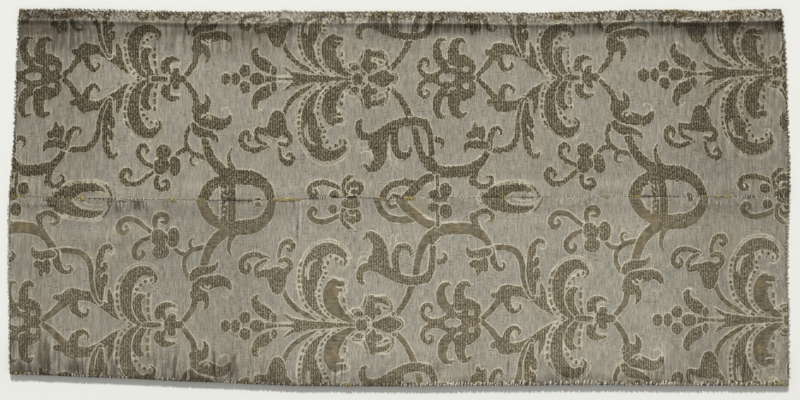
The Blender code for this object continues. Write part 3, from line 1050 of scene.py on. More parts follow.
def border_loop(faces):
    """The outside edges of a sheet of triangles, chained into one loop."""
    pairs = np.vstack([faces[:, [0, 1]], faces[:, [1, 2]], faces[:, [2, 0]]])
    seen = {(a, b) for a, b in pairs.tolist()}
    following = {a: b for a, b in seen if (b, a) not in seen}
    start = next(iter(following))
    loop = [start]
    while following[loop[-1]] != start:
        loop.append(following[loop[-1]])
    return np.array(loop)


def drop_unused(verts, faces):
    """Only the points that a face holds, and the faces numbered by them."""
    used = np.unique(faces)
    renumber = np.full(len(verts), -1)
    renumber[used] = np.arange(len(used))
    return verts[used], renumber[faces]


def fold_points(width, border):
    """Rows of loose points along each narrow fold, so that it keeps its shape."""
    points = []
    for fold in FOLDS:
        turn = math.radians(fold.angle)
        lengthwise, sideways = np.meshgrid(*(np.linspace(-1, 1, count) for count in FOLD_POINTS))
        lengthwise, sideways = lengthwise.ravel() * fold.half_length, sideways.ravel() * fold.half_width
        x = fold.x + lengthwise * math.cos(turn) - sideways * math.sin(turn)
        y = fold.y + lengthwise * math.sin(turn) + sideways * math.cos(turn)
        inside = off_the_rolls(width, border, x, y, FOLD_CLEAR)
        points.append(np.stack(on_chart(width, x[inside], y[inside]), axis=1))
    return np.vstack(points)


GROUND, BROCADED, FLOATS, PALE, REVERSE = range(5)


def face_kinds(width, verts, faces):
    """Which thread shows on each triangle."""
    middle = verts[faces].mean(axis=1)
    taken = ragged(width, middle[:, 0], middle[:, 1])
    kinds = np.full(len(faces), GROUND)
    kinds[read_field(CHART.fill, *taken) < 0] = BROCADED
    if width.floats_show:
        kinds[(kinds == BROCADED) & (read_field(CHART.plain, *taken) < 0)] = FLOATS
    kinds[read_field(CHART.pale, *taken) < 0] = PALE
    return kinds


def closed_edges(ring):
    """The edges from each point of a ring to the next, round to the first."""
    return np.stack([np.arange(len(ring)), np.roll(np.arange(len(ring)), -1)], axis=1)


def make_cloth(width, border, materials):
    """One width as a closed sheet: its patterned top, its underside, and the cut ends between them."""
    random_state = np.random.default_rng(width.seed)
    outline = border.ring(RING_SPACING)
    ring = np.stack(on_chart(width, outline[:, 0], outline[:, 1]), axis=1)
    lines, line_edges = pattern_lines(width, ring.min(axis=0) - 3, ring.max(axis=0) + 3)
    rows, row_edges = edge_rows(width, border, RING_SPACING, 0.0, True)
    grid = inner_grid(width, border, ring, GRID_SPACING, CLEAR_OF_LINES, random_state)
    points = np.vstack([ring, lines, rows, grid, fold_points(width, border)])
    edges = np.vstack([closed_edges(ring), line_edges + len(ring), row_edges + len(ring) + len(lines)])
    verts, faces = drop_unused(*triangulate(points, edges, len(ring)))
    kinds = face_kinds(width, verts, faces)
    loop = border_loop(faces)
    under_rows, _ = edge_rows(width, border, UNDER_ROW_SPACING, UNDER_ROW_INSET, False)
    under_grid = inner_grid(width, border, ring, UNDER_GRID_SPACING, None, random_state)
    under_points = np.vstack([verts[loop], under_rows, under_grid])
    under_verts, under_faces = triangulate(under_points, closed_edges(loop), len(loop))
    return build_sheet(width, border, materials, verts, faces, kinds, loop, under_verts, under_faces)


SHARED_EDGE = 0.00002   # how near a turned edge top and underside still share their points


def build_sheet(width, border, materials, verts, faces, kinds, loop, under_verts, under_faces):
    """Join top and underside, which share their points along the turned edges, with walls at the ends."""
    x, y = on_cloth(width, verts[:, 0], verts[:, 1])
    top, _ = heights(width, border, x, y, verts[:, 0], verts[:, 1])
    under_x, under_y = on_cloth(width, under_verts[:, 0], under_verts[:, 1])
    _, under = heights(width, border, under_x, under_y, under_verts[:, 0], under_verts[:, 1])
    away = np.minimum(border.from_outer(x[loop], y[loop]), border.from_seam(x[loop], y[loop]))
    cut_end = away > SHARED_EDGE
    number = np.arange(len(under_verts)) + len(verts)
    number[:len(loop)][~cut_end] = loop[~cut_end]
    places = np.vstack([np.stack([x, y, top], axis=1), np.stack([under_x, under_y, under], axis=1)])
    polygons = [tuple(face) for face in faces]
    polygons += [tuple(number[face[::-1]]) for face in under_faces]
    edge_kind = {}
    for face, kind in zip(faces.tolist(), kinds.tolist()):
        for a, b in ((face[0], face[1]), (face[1], face[2]), (face[2], face[0])):
            edge_kind[(a, b)] = kind
    walls, wall_kinds = [], []
    for i in range(len(loop)):
        j = (i + 1) % len(loop)
        corners = [loop[i], number[i], number[j], loop[j]]
        corners = [c for k, c in enumerate(corners) if c not in corners[:k]]
        if len(corners) > 2:
            walls.append(tuple(corners))
            wall_kinds.append(edge_kind[(loop[i], loop[j])])
    all_kinds = np.concatenate([kinds, np.full(len(under_faces), REVERSE), wall_kinds]).astype(int)
    mesh = bpy.data.meshes.new(width.node + "_cloth")
    mesh.from_pydata(places.tolist(), [], polygons + walls)
    for material in materials:
        mesh.materials.append(material)
    mesh.polygons.foreach_set("material_index", all_kinds)
    store(mesh, "weave", "FLOAT_VECTOR", np.column_stack([places[:, :2], np.full(len(places), width.side)]))
    for name, values in looks_at(width, border, places).items():
        store(mesh, name, "FLOAT", values)
    if width.side > 0:
        mesh.flip_normals()
    mesh.validate()
    mesh.shade_smooth()
    mesh.set_sharp_from_angle(angle=math.radians(SHARP_ANGLE))
    return add_object(width.node + "_cloth", mesh)


def add_object(name, data):
    """Put a mesh, lamp or camera in the scene under its name."""
    thing = bpy.data.objects.new(name, data)
    bpy.context.scene.collection.objects.link(thing)
    return thing


def store(mesh, name, kind, values):
    attribute = mesh.attributes.new(name, kind, "POINT")
    key = "vector" if kind == "FLOAT_VECTOR" else "value"
    attribute.data.foreach_set(key, np.asarray(values, dtype=np.float32).ravel())


# Where the cloth is worn and gilded, where highlights and shade are painted on it, and where it is paler or
# darker
Patch = namedtuple("Patch", "x y half_length half_width strength")
GILDED = table(Patch,
    (-0.2782, -0.0209, 0.0110, 0.0050, 0.9), (-0.1362, -0.0091, 0.0100, 0.0065, 0.6),
    (0.0067, -0.0024, 0.0040, 0.0050, 0.8), (0.0429, -0.0224, 0.0085, 0.0050, 0.6),
    (0.0111, -0.1134, 0.0045, 0.0080, 0.7), (-0.2479, -0.1053, 0.0080, 0.0060, 0.6),
    (-0.0474, -0.0697, 0.0050, 0.0090, 0.7), (-0.0474, -0.1164, 0.0050, 0.0110, 0.7),
    (-0.1880, -0.0757, 0.0060, 0.0070, 0.5), (-0.1857, -0.1090, 0.0060, 0.0070, 0.5),
    (0.2671, -0.0646, 0.0060, 0.0080, 0.6), (0.2671, -0.1127, 0.0060, 0.0080, 0.6),
    (0.0150, -0.0105, 0.0140, 0.0120, 0.5), (0.1895, -0.0120, 0.0180, 0.0140, 0.45),
    (0.1760, -0.0310, 0.0100, 0.0120, 0.45), (0.2670, -0.1349, 0.0220, 0.0045, 0.8),
    (0.0936, -0.1335, 0.0050, 0.0040, 0.7), (0.2510, 0.1360, 0.0180, 0.0055, 1.0),
    (0.2005, 0.1365, 0.0050, 0.0050, 0.8), (0.1180, 0.1355, 0.0060, 0.0050, 0.7),
    (-0.0150, 0.1360, 0.0080, 0.0050, 0.8),
)
# Painted highlights on creases, folds and the ridge at the bottom left, and paler patches on the hem and
# elsewhere
PAINTED_LIGHT_AND_PALE_PATCHES = table(Patch,
    (-0.1528, 0.1075, 0.0360, 0.0080, 0.35), (-0.2353, -0.0243, 0.0230, 0.0018, 0.55),
    (-0.0728, -0.0180, 0.0017, 0.0200, 0.85), (0.0629, 0.0930, 0.0110, 0.0060, 0.25),
    (-0.2562, -0.1185, 0.0021, 0.0160, 0.70), (-0.2680, 0.1250, 0.0012, 0.0050, 0.50),
    (-0.2652, 0.1250, 0.0012, 0.0050, 0.50), (-0.0840, 0.1352, 0.0480, 0.0085, 0.45),
    (0.0747, 0.1352, 0.0240, 0.0085, 0.40), (-0.0215, 0.1285, 0.0350, 0.0050, 0.40),
)
# Painted shade beside the folds and in the pleats along the bottom edge, and darker spots about the seam
PAINTED_SHADE_AND_DARK_PATCHES = table(Patch,
    (-0.2146, -0.0034, 0.0028, 0.0050, 0.90), (-0.1939, -0.0035, 0.0080, 0.0065, 0.65),
    (-0.2625, -0.1170, 0.0065, 0.0210, 1.10), (-0.2760, -0.1260, 0.0140, 0.0060, 0.60),
    (-0.2395, -0.1250, 0.0090, 0.0080, 0.95), (-0.2105, -0.1255, 0.0045, 0.0090, 0.80),
    (-0.1665, -0.1250, 0.0030, 0.0100, 0.60), (-0.1235, -0.1270, 0.0060, 0.0110, 0.75),
    (0.0270, -0.1270, 0.0060, 0.0090, 0.55), (0.1600, -0.1320, 0.1100, 0.0060, 0.25),
    (-0.0325, -0.0305, 0.0018, 0.0014, 1.00), (0.0640, -0.0105, 0.0050, 0.0009, 1.00),
)

# Stretches where the two folds of the seam stand apart, in squares; the groove there gets painted shade
Span = namedtuple("Span", "first last")
OPEN_SEAM = table(Span,
    (110, 122), (222, 253), (308, 326), (346, 358), (436, 446), (520, 534), (640, 652), (742, 756),
)
# How dark the upper width is just behind its hem, on it and farther below it, along the panel
Tone = namedtuple("Tone", "square strength")
# Just behind the hem: painted shadow under the hem's step, with dirt gathered there
BEHIND_HEM = table(Tone,
    (14, 0.90), (55, 0.90), (64, 0.30), (116, 0.25), (126, 0.45), (150, 0.45), (188, 0.55), (262, 0.45),
    (275, 0.15), (335, 0.00), (370, 0.05), (424, 0.10), (430, 0.80), (464, 0.80), (480, 0.30), (560, 0.30),
    (580, 0.55), (612, 0.50), (626, 0.25), (640, 0.55), (690, 0.55), (712, 0.45), (740, 0.90), (784, 0.90),
)
ON_HEM = table(Tone,
    (68, 0.75), (80, 0.20), (120, 0.20), (132, 0.00), (420, 0.00), (430, 0.35), (472, 0.35), (482, 0.00),
    (620, 0.00), (632, 0.27), (670, 0.27), (690, 0.05), (784, 0.15),
)
BELOW_HEM = table(Tone,
    (50, 0.50), (100, 0.25), (150, 0.30), (200, 0.42), (250, 0.46), (300, 0.24), (350, 0.14), (410, 0.14),
    (450, 0.00), (600, 0.06), (650, 0.30), (700, 0.12), (784, 0.20),
)


# Strips along a turned edge, by how far in from it each one starts, and where it starts to end
Strip = namedtuple("Strip", "start rise stop fall")
# Just behind the upper hem, where its painted shadow and dirt lie; farther below it, darker
JUST_BEHIND = Strip(start=0.0080, rise=0.0012, stop=0.0125, fall=0.0070)
FARTHER_BELOW = Strip(start=0.0130, rise=0.0040, stop=0.0250, fall=0.0120)
# Along the rim of the turned hem, where a painted highlight lies
TURNED_RIM = Strip(start=0.0064, rise=0.0004, stop=0.0074, fall=0.0004)
# Beside the upper hem, where fine pleats have painted shade in their streaks
HEM_PLEATS = Strip(start=0.0074, rise=0.0020, stop=0.0130, fall=0.0080)
ABOVE_EDGE = Strip(start=0.0080, rise=0.0060, stop=0.0180, fall=0.0150)
ON_HEM_RIM = 0.0005     # how far past the start of its slope a hem still has the looks of its rim
FULL_FOLD = 0.001       # height of a fold whose painted highlight and painted shade are at full strength
# The painted highlight on a fold's crest and the painted shade on the strip beside it, in half widths of the
# fold
CREST_HALF = 0.45
BESIDE_CREST = 0.85
BESIDE_HALF = 0.5


def in_strip(strip, away):
    return fade_in(away, strip.start, strip.rise) * fade_out(away, strip.stop, strip.fall)


def patch_strength(patches, x, y):
    total = np.zeros(x.shape)
    for patch in patches:
        away = np.hypot((x - patch.x) / patch.half_length, (y - patch.y) / patch.half_width)
        total += patch.strength * smooth_step(1 - away)
    return total


def fold_light(x, y):
    """How far the crest of each narrow fold gets a painted highlight, and how far the cloth beside it gets
    painted shade.
    """
    crest, beside = np.zeros(x.shape), np.zeros(x.shape)
    for fold in FOLDS:
        lengthwise, sideways = from_ridge(fold, x, y)
        strength = smooth_step(2 * (1 - lengthwise)) * min(1.0, fold.height / FULL_FOLD)
        crest += strength * smooth_step(1 - np.abs(sideways) / CREST_HALF)
        beside += strength * smooth_step(1 - np.abs(sideways - BESIDE_CREST) / BESIDE_HALF)
    return crest, beside


def upper_looks(x, from_outer, on_hem):
    """What is the upper width's own: painted shadow and dirt behind its hem, a painted highlight on its rim,
    worn and gilded threads on it.
    """
    behind, below, over = (read_line(tones, "square", "strength", square_at(x))
                           for tones in (BEHIND_HEM, BELOW_HEM, ON_HEM))
    shade = 0.95 * in_strip(JUST_BEHIND, from_outer) * behind
    shade = shade + in_strip(FARTHER_BELOW, from_outer) * below + on_hem * (over - UPPER.tone)
    return {
        "shade": shade + 0.24 * fade_in(-x, 0.195, 0.05) * (1 - on_hem),
        "light": 0.30 * in_strip(TURNED_RIM, from_outer),
        "gilt": (0.20 + 0.20 * smooth_step((0.02 - np.abs(x + 0.08)) / 0.03 + 0.5)) * on_hem,
        "fuzz": 1.0 * on_hem,
        "unfaded": 0.65 + 0.35 * fade_in(-x, 0.02, 0.22),
        "pleats": 0.9 * in_strip(HEM_PLEATS, from_outer),
    }


def lower_looks(x, from_outer, from_seam, on_hem):
    """What is the lower width's own: darker to the left and above its edge, pleats beside both folds with
    painted shade in their streaks.
    """
    return {
        "shade": (0.10 * fade_in(-x, 0.235, 0.05) + 0.24 * fade_in(-x, 0.06, 0.07)
                  + 0.26 * in_strip(ABOVE_EDGE, from_outer)),
        "light": np.zeros(x.shape),
        "gilt": 0.15 * on_hem,
        "fuzz": 0.20 * on_hem + 0.8 * fade_out(from_outer, 0.0018 + 0.0016 * smooth_step(x / 0.08), 0.0012),
        "unfaded": 0.12 * fade_in(-x, 0.08, 0.15),
        "pleats": 1.0 * fade_out(from_outer, 0.006, 0.014) + 0.6 * fade_out(from_seam, 0, 0.013),
    }


def looks_at(width, border, places):
    """How gilded and finely pleated the cloth is at each of its points, with its painted highlights and
    painted shade and its paler and darker tones.
    """
    x, y = places[:, 0], places[:, 1]
    from_outer, from_seam = border.from_outer(x, y), border.from_seam(x, y)
    on_hem = smooth_step((width.hem.slope_start + ON_HEM_RIM - from_outer) / 0.001)
    if width is UPPER:
        looks = upper_looks(x, from_outer, on_hem)
    else:
        looks = lower_looks(x, from_outer, from_seam, on_hem)
    crest, beside = fold_light(x, y)
    open_seam = sum(fade_in(square_at(x), span.first, 2)
                    * smooth_step((span.last - x / SQUARE - MIDDLE_SQUARE) / 2) for span in OPEN_SEAM)
    from_end = np.minimum(x - border.left_x(y), border.right_x(y) - x)
    looks["gilt"] = looks["gilt"] + patch_strength(GILDED, x, y)
    # Painted highlights on the crests of folds and in the lit patches, and the paler patches
    looks["light"] = patch_strength(PAINTED_LIGHT_AND_PALE_PATCHES, x, y) + 0.60 * crest + looks["light"]
    # Painted shade in the open seam's groove, beside folds and in the shaded patches; darker toward the right
    # end, along the cut ends, over the upper width and in the dark patches
    looks["shade"] = (looks["shade"] + 0.9 * open_seam * fade_out(from_seam, 0, 0.0012)
                      + 0.28 * fade_in(x, 0.175, 0.06) * (1 - on_hem) + 0.5 * fade_out(from_end, 0, 0.0014)
                      + width.tone + beside + patch_strength(PAINTED_SHADE_AND_DARK_PATCHES, x, y))
    return looks


# Materials: how far apart the threads lie in metres, and the noise of the fine pleats in grains a metre
COLUMN_PITCH = 0.00178
DASH_PITCH = 0.00158
WARP_PITCH = 0.00105
RIB_PITCH = 0.0009
STEP_PITCH = 0.0016
PLEAT_GRAINS = (560, 36, 9)
DULL = 0.3              # the specular level of every material


class Look:
    """One material, built node by node."""

    def __init__(self, name):
        self.material = bpy.data.materials.new(name)
        self.material.use_nodes = True
        self.tree = self.material.node_tree
        self.surface = self.tree.nodes["Principled BSDF"]

    def feed(self, socket, value):
        if isinstance(value, bpy.types.NodeSocket):
            self.tree.links.new(value, socket)
        else:
            socket.default_value = value

    def maths(self, operation, *values):
        node = self.tree.nodes.new("ShaderNodeMath")
        node.operation = operation
        for socket, value in zip(node.inputs, values):
            self.feed(socket, value)
        return node.outputs[0]

    def attribute(self, name, output="Fac"):
        node = self.tree.nodes.new("ShaderNodeAttribute")
        node.attribute_name = name
        return node.outputs[output]

    def times(self, *values):
        product = values[0]
        for value in values[1:]:
            product = self.maths("MULTIPLY", product, value)
        return product

    def weighed(self, *parts):
        """The sum of values, each times its own weight."""
        total = self.times(*parts[0])
        for value, weight in parts[1:]:
            total = self.maths("ADD", total, self.times(value, weight))
        return total

    def noise(self, vector, grains, detail=2.0):
        """Noise from 0 to 1, with its own number of grains a metre in each direction."""
        scaled = self.tree.nodes.new("ShaderNodeVectorMath")
        scaled.operation = "MULTIPLY"
        self.feed(scaled.inputs[0], vector)
        scaled.inputs[1].default_value = grains
        node = self.tree.nodes.new("ShaderNodeTexNoise")
        node.inputs["Scale"].default_value = 1.0
        node.inputs["Detail"].default_value = detail
        self.feed(node.inputs["Vector"], scaled.outputs[0])
        return node.outputs["Fac"]

    def spread(self, value, low, high):
        """0 at low, 1 at high, and a straight slope between."""
        node = self.tree.nodes.new("ShaderNodeMapRange")
        self.feed(node.inputs["Value"], value)
        node.inputs["From Min"].default_value = low
        node.inputs["From Max"].default_value = high
        return node.outputs[0]

    def patches(self, vector, grains, detail, low, high):
        """Noise drawn out to patches of 0 and 1 with soft edges."""
        return self.spread(self.noise(vector, grains, detail), low, high)

    def mix(self, share, a, b, blend="MIX"):
        node = self.tree.nodes.new("ShaderNodeMix")
        node.data_type = "RGBA"
        node.blend_type = blend
        for socket, value in zip((node.inputs[0], node.inputs[6], node.inputs[7]), (share, a, b)):
            self.feed(socket, value)
        return node.outputs[2]

    def darken(self, shown, filter_color):
        return self.mix(1.0, shown, filter_color, "MULTIPLY")

    def stain(self, share, shown, *levels):
        """A colour filtered by another, in the share that a value gives."""
        return self.mix(share, shown, self.darken(shown, color(*levels)))

    def wave(self, value, pitch, shift=0.0):
        """A cosine from -1 to 1 that repeats every pitch."""
        turned = self.maths("MULTIPLY_ADD", value, 2 * math.pi / pitch, shift)
        return self.maths("COSINE", turned)

    def finish(self, shown, roughness, metallic, height, depth, sheen=0.1):
        """The surface's colour and shine, with its relief as deep as given for a height of 1."""
        bump = self.tree.nodes.new("ShaderNodeBump")
        bump.inputs["Distance"].default_value = depth
        self.feed(bump.inputs["Height"], height)
        for name, value in (
                ("Base Color", shown), ("Roughness", roughness), ("Metallic", metallic),
                ("Specular IOR Level", DULL), ("Sheen Weight", sheen), ("Normal", bump.outputs[0])):
            self.feed(self.surface.inputs[name], value)
        return self.material


def color(red, green, blue):
    """A shader colour from the 0 to 255 values it shows as."""
    levels = [level / 255 for level in (red, green, blue)]
    linear = [level / 12.92 if level < 0.04045 else ((level + 0.055) / 1.055) ** 2.4 for level in levels]
    return linear + [1.0]


def woven(name):
    """A material with the places of its threads: across the cloth, along it, and both at once."""
    look = Look(name)
    weave = look.attribute("weave", "Vector")
    node = look.tree.nodes.new("ShaderNodeSeparateXYZ")
    look.feed(node.inputs[0], weave)
    return look, weave, node.outputs[0], node.outputs[1]


def aged(look, weave, shown, gilt_color, gilt_share, light_share=1.0):
    """The cloth's large patches: cool and warm areas, gilded wear, painted highlights and painted shade, fine
    pleats with painted shade in their streaks.
    """
    cool = look.patches(weave, (22, 30, 1), 3.0, 0.42, 0.62)
    shown = look.stain(look.times(cool, 0.30), shown, 226, 232, 236)
    warm = look.patches(weave, (31, 17, 5), 3.0, 0.50, 0.68)
    shown = look.stain(look.times(warm, 0.25), shown, 247, 238, 220)
    grains = look.patches(weave, (520, 520, 7), 2.0, 0.35, 0.65)
    gilt = look.times(look.attribute("gilt"), gilt_share, grains)
    shown = look.mix(look.maths("MINIMUM", gilt, 1.0), shown, gilt_color)
    bits = look.patches(weave, (640, 520, 11), 3.0, 0.38, 0.58)
    speckled = look.darken(shown, look.mix(bits, color(112, 104, 90), color(255, 255, 255)))
    brown = look.patches(weave, (90, 240, 13), 3.0, 0.52, 0.62)
    speckled = look.mix(look.times(brown, 0.60), speckled, color(104, 80, 46))
    white = look.patches(weave, (620, 330, 15), 2.0, 0.60, 0.68)
    speckled = look.mix(look.times(white, 0.8), speckled, color(212, 206, 188))
    shown = look.mix(look.attribute("fuzz"), shown, speckled)
    # Painted highlights on folds, creases and the hem's rim, and paler patches
    shown = look.mix(look.times(look.attribute("light"), light_share), shown, color(196, 192, 180))
    # Painted shade in the streaks of the fine pleats
    streaks = look.patches(weave, PLEAT_GRAINS, 2.0, 0.62, 0.42)
    places = look.patches(weave, (34, 26, 19), 2.0, 0.40, 0.60)
    shown = look.stain(look.times(look.attribute("pleats"), streaks, places, 0.75), shown, 150, 142, 136)
    # Painted shade and darker tones, broken into uneven streaks
    uneven = look.maths("MULTIPLY_ADD", look.patches(weave, (420, 40, 25), 3.0, 0.36, 0.64), -0.9, 1.45)
    return look.stain(look.times(look.attribute("shade"), uneven), shown, 156, 148, 140)


def pleated_height(look, weave, value):
    """The height of the threads, with the fine pleats that stand beside the turned edges."""
    streaks = look.times(look.noise(weave, PLEAT_GRAINS), 4.0)
    return look.maths("ADD", value, look.times(look.attribute("pleats"), streaks))


def ground_look():
    """The plain weave behind the motifs: grey silk and dulled silver, in fine streaks across the width."""
    look, weave, across, along = woven("silvered_ground")
    streaks, broad, specks = (look.noise(weave, grains) for grains in (
        (1300, 150, 1), (330, 60, 1), (1100, 1100, 1)))
    ribs = look.wave(across, WARP_PITCH)
    value = look.weighed((streaks, 0.50), (broad, 0.15), (specks, 0.35), (ribs, 0.02))
    shown = look.mix(look.spread(value, 0.34, 0.66), color(129, 124, 108), color(196, 190, 173))
    slubs = look.patches(weave, (230, 900, 21), 3.0, 0.54, 0.70)
    tired = look.patches(weave, (38, 52, 23), 2.0, 0.44, 0.60)
    shown = look.stain(look.times(slubs, look.maths("MULTIPLY_ADD", tired, 0.7, 0.3)), shown, 194, 190, 183)
    shown = aged(look, weave, shown, color(165, 146, 108), 0.7)
    height = look.maths("ADD", value, look.times(look.wave(along, RIB_PITCH), 0.05))
    return look.finish(shown, 0.66, 0.1, pleated_height(look, weave, height), 0.00022)


def brocaded_look():
    """The dark ribbed threads of the motifs: upright columns, each broken into short dashes."""
    look, weave, across, along = woven("brocaded_motif")
    shift = look.times(look.maths("SUBTRACT", look.noise(weave, (420, 420, 1)), 0.5), 0.0012)
    columns = look.wave(look.maths("ADD", across, shift), COLUMN_PITCH)
    dashes = look.wave(look.maths("ADD", along, shift), DASH_PITCH)
    fuzz = look.noise(weave, (820, 560, 3))
    patchy = look.noise(weave, (110, 90, 2), 3.0)
    value = look.weighed((columns, 0.14), (look.times(columns, dashes), 0.18), (fuzz, 1.40), (patchy, 0.30))
    unfaded = look.attribute("unfaded")
    deepest = look.mix(unfaded, color(73, 64, 46), color(45, 38, 22))
    middle = look.mix(unfaded, color(125, 114, 90), color(117, 107, 84))
    lightest = look.mix(unfaded, color(180, 171, 144), color(204, 195, 166))
    dark = look.mix(look.spread(value, 0.45, 1.00), deepest, middle)
    shown = look.mix(look.spread(value, 0.85, 1.20), dark, lightest)
    shown = look.stain(unfaded, shown, 208, 204, 192)
    shown = aged(look, weave, shown, color(142, 116, 66), 0.8, 0.4)
    return look.finish(shown, 0.6, 0.12, pleated_height(look, weave, value), 0.0004)


def floats_look():
    """Long smooth threads that lie side by side along the cloth, dull gold where they are worn."""
    look, weave, across, _ = woven("smooth_floats")
    strands, patchy = look.noise(weave, (200, 760, 1), 3.0), look.noise(weave, (240, 150, 2), 3.0)
    value = look.weighed((strands, 0.6), (patchy, 0.5), (look.wave(across, COLUMN_PITCH), 0.02))
    shown = look.mix(look.spread(value, 0.38, 0.72), color(86, 76, 55), color(150, 140, 115))
    shown = aged(look, weave, shown, color(158, 136, 88), 1.1)
    return look.finish(shown, 0.62, 0.12, pleated_height(look, weave, value), 0.0003)


def outline_look():
    """The pale thread round every motif, which crosses the columns in small steps."""
    look, weave, across, along = woven("pale_outline")
    steps = look.times(look.wave(across, COLUMN_PITCH), look.wave(along, STEP_PITCH))
    fuzz, patchy = look.noise(weave, (1000, 1000, 1)), look.noise(weave, (150, 110, 2), 3.0)
    value = look.weighed((steps, 0.14), (fuzz, 0.8), (patchy, 0.5))
    unfaded = look.attribute("unfaded")
    lowest = look.mix(unfaded, color(154, 146, 124), color(150, 141, 117))
    highest = look.mix(unfaded, color(224, 217, 196), color(241, 235, 215))
    shown = look.mix(look.spread(value, 0.38, 0.84), lowest, highest)
    faded = look.patches(weave, (95, 95, 17), 2.0, 0.55, 0.40)
    shown = look.stain(look.times(faded, 0.40), shown, 196, 192, 180)
    shown = look.stain(unfaded, shown, 232, 230, 222)
    shown = aged(look, weave, shown, color(190, 170, 122), 0.5)
    return look.finish(shown, 0.55, 0.08, pleated_height(look, weave, value), 0.0004, 0.15)


def reverse_look():
    """The back of the cloth, where the brocading threads pass loosely from motif to motif."""
    look, weave, across, _ = woven("cloth_reverse")
    loose, patchy = look.noise(weave, (40, 1500, 1), 3.0), look.noise(weave, (60, 45, 1), 3.0)
    value = look.weighed((loose, 0.7), (patchy, 0.4), (look.wave(across, COLUMN_PITCH), 0.05))
    shown = look.mix(look.spread(value, 0.40, 0.70), color(104, 93, 66), color(170, 160, 132))
    return look.finish(shown, 0.65, 0.1, value, 0.0004)


def grainy_look(name, grains, detail):
    """A material with noise that lies still on its object, the same number of grains a metre each way."""
    look = Look(name)
    coordinates = look.tree.nodes.new("ShaderNodeTexCoord").outputs["Object"]
    return look, coordinates, look.noise(coordinates, (grains,) * 3, detail)


def thread_look(name, dark, light, roughness, metallic):
    look, coordinates, grain = grainy_look(name, 900, 2.0)
    shown = look.mix(look.spread(grain, 0.35, 0.65), color(*dark), color(*light))
    twist = look.noise(coordinates, (2600, 2600, 2600), 1.0)
    return look.finish(shown, roughness, metallic, twist, 0.0001)


def floor_look():
    look, _, grain = grainy_look("pale_floor", 300, 3.0)
    shown = look.mix(grain, color(238, 238, 231), color(244, 244, 238))
    return look.finish(shown, 0.9, 0.0, grain, 0.00005, 0.0)


# The sewing along the seam and the loose threads at the edges: each run from one square to another
Run = namedtuple("Run", "first last thread pitch lean size")
GOLD, WHITE, DARK, GREY = range(4)
# The seam's DARK runs lie where its groove is dark, as dark stitches that also stand in for the groove's
# shade
SEAM_RUNS = table(Run,
    (12, 26, GOLD, 1.5, 1.0, 1.0), (26, 56, GREY, 3.2, 1.4, 0.8), (57, 65, GOLD, 1.6, 1.0, 1.0),
    (67, 80, GOLD, 2.2, 0.6, 0.9), (81, 85, GOLD, 1.1, 0.5, 1.7), (84, 113, DARK, 4.5, 0.4, 0.8),
    (113, 160, WHITE, 3.6, 0.2, 0.9), (113, 126, GREY, 2.2, 0.3, 1.8), (116, 124, WHITE, 2.6, 0.3, 1.2),
    (132, 142, GREY, 2.6, 0.3, 1.5), (170, 176, GOLD, 1.5, 1.8, 1.4), (178, 196, GREY, 4.0, 0.3, 0.8),
    (197, 206, GOLD, 2.0, 2.2, 1.3), (209, 252, DARK, 4.8, 0.5, 0.7), (270, 300, GOLD, 1.8, 3.0, 1.1),
    (282, 296, GOLD, 2.0, 3.4, 1.3), (302, 330, DARK, 5.0, 0.3, 0.7), (319, 331, WHITE, 2.6, 0.3, 0.8),
    (357, 366, GOLD, 1.7, 0.8, 1.0), (366, 378, DARK, 4.0, 0.2, 0.8), (378, 385, GOLD, 1.6, 1.0, 1.2),
    (385, 402, WHITE, 3.6, 0.3, 0.8), (403, 415, GOLD, 1.5, 0.8, 1.3), (415, 428, WHITE, 2.4, 1.4, 0.9),
    (432, 455, GREY, 4.2, 0.4, 0.8), (455, 482, WHITE, 3.0, 1.8, 0.8), (499, 507, GOLD, 1.6, 1.0, 1.2),
    (510, 548, GREY, 4.4, 0.5, 0.8), (550, 602, WHITE, 3.8, 0.8, 0.8), (603, 608, GOLD, 1.8, 0.8, 1.1),
    (609, 629, WHITE, 3.6, 0.5, 0.8), (630, 641, GOLD, 1.6, 1.0, 1.1), (642, 678, DARK, 4.6, 0.4, 0.8),
    (680, 703, WHITE, 3.8, 0.7, 0.8), (703, 707, GOLD, 1.7, 0.9, 1.1), (714, 731, GOLD, 1.8, 0.9, 1.1),
    (732, 786, WHITE, 4.0, 0.6, 0.8),
)
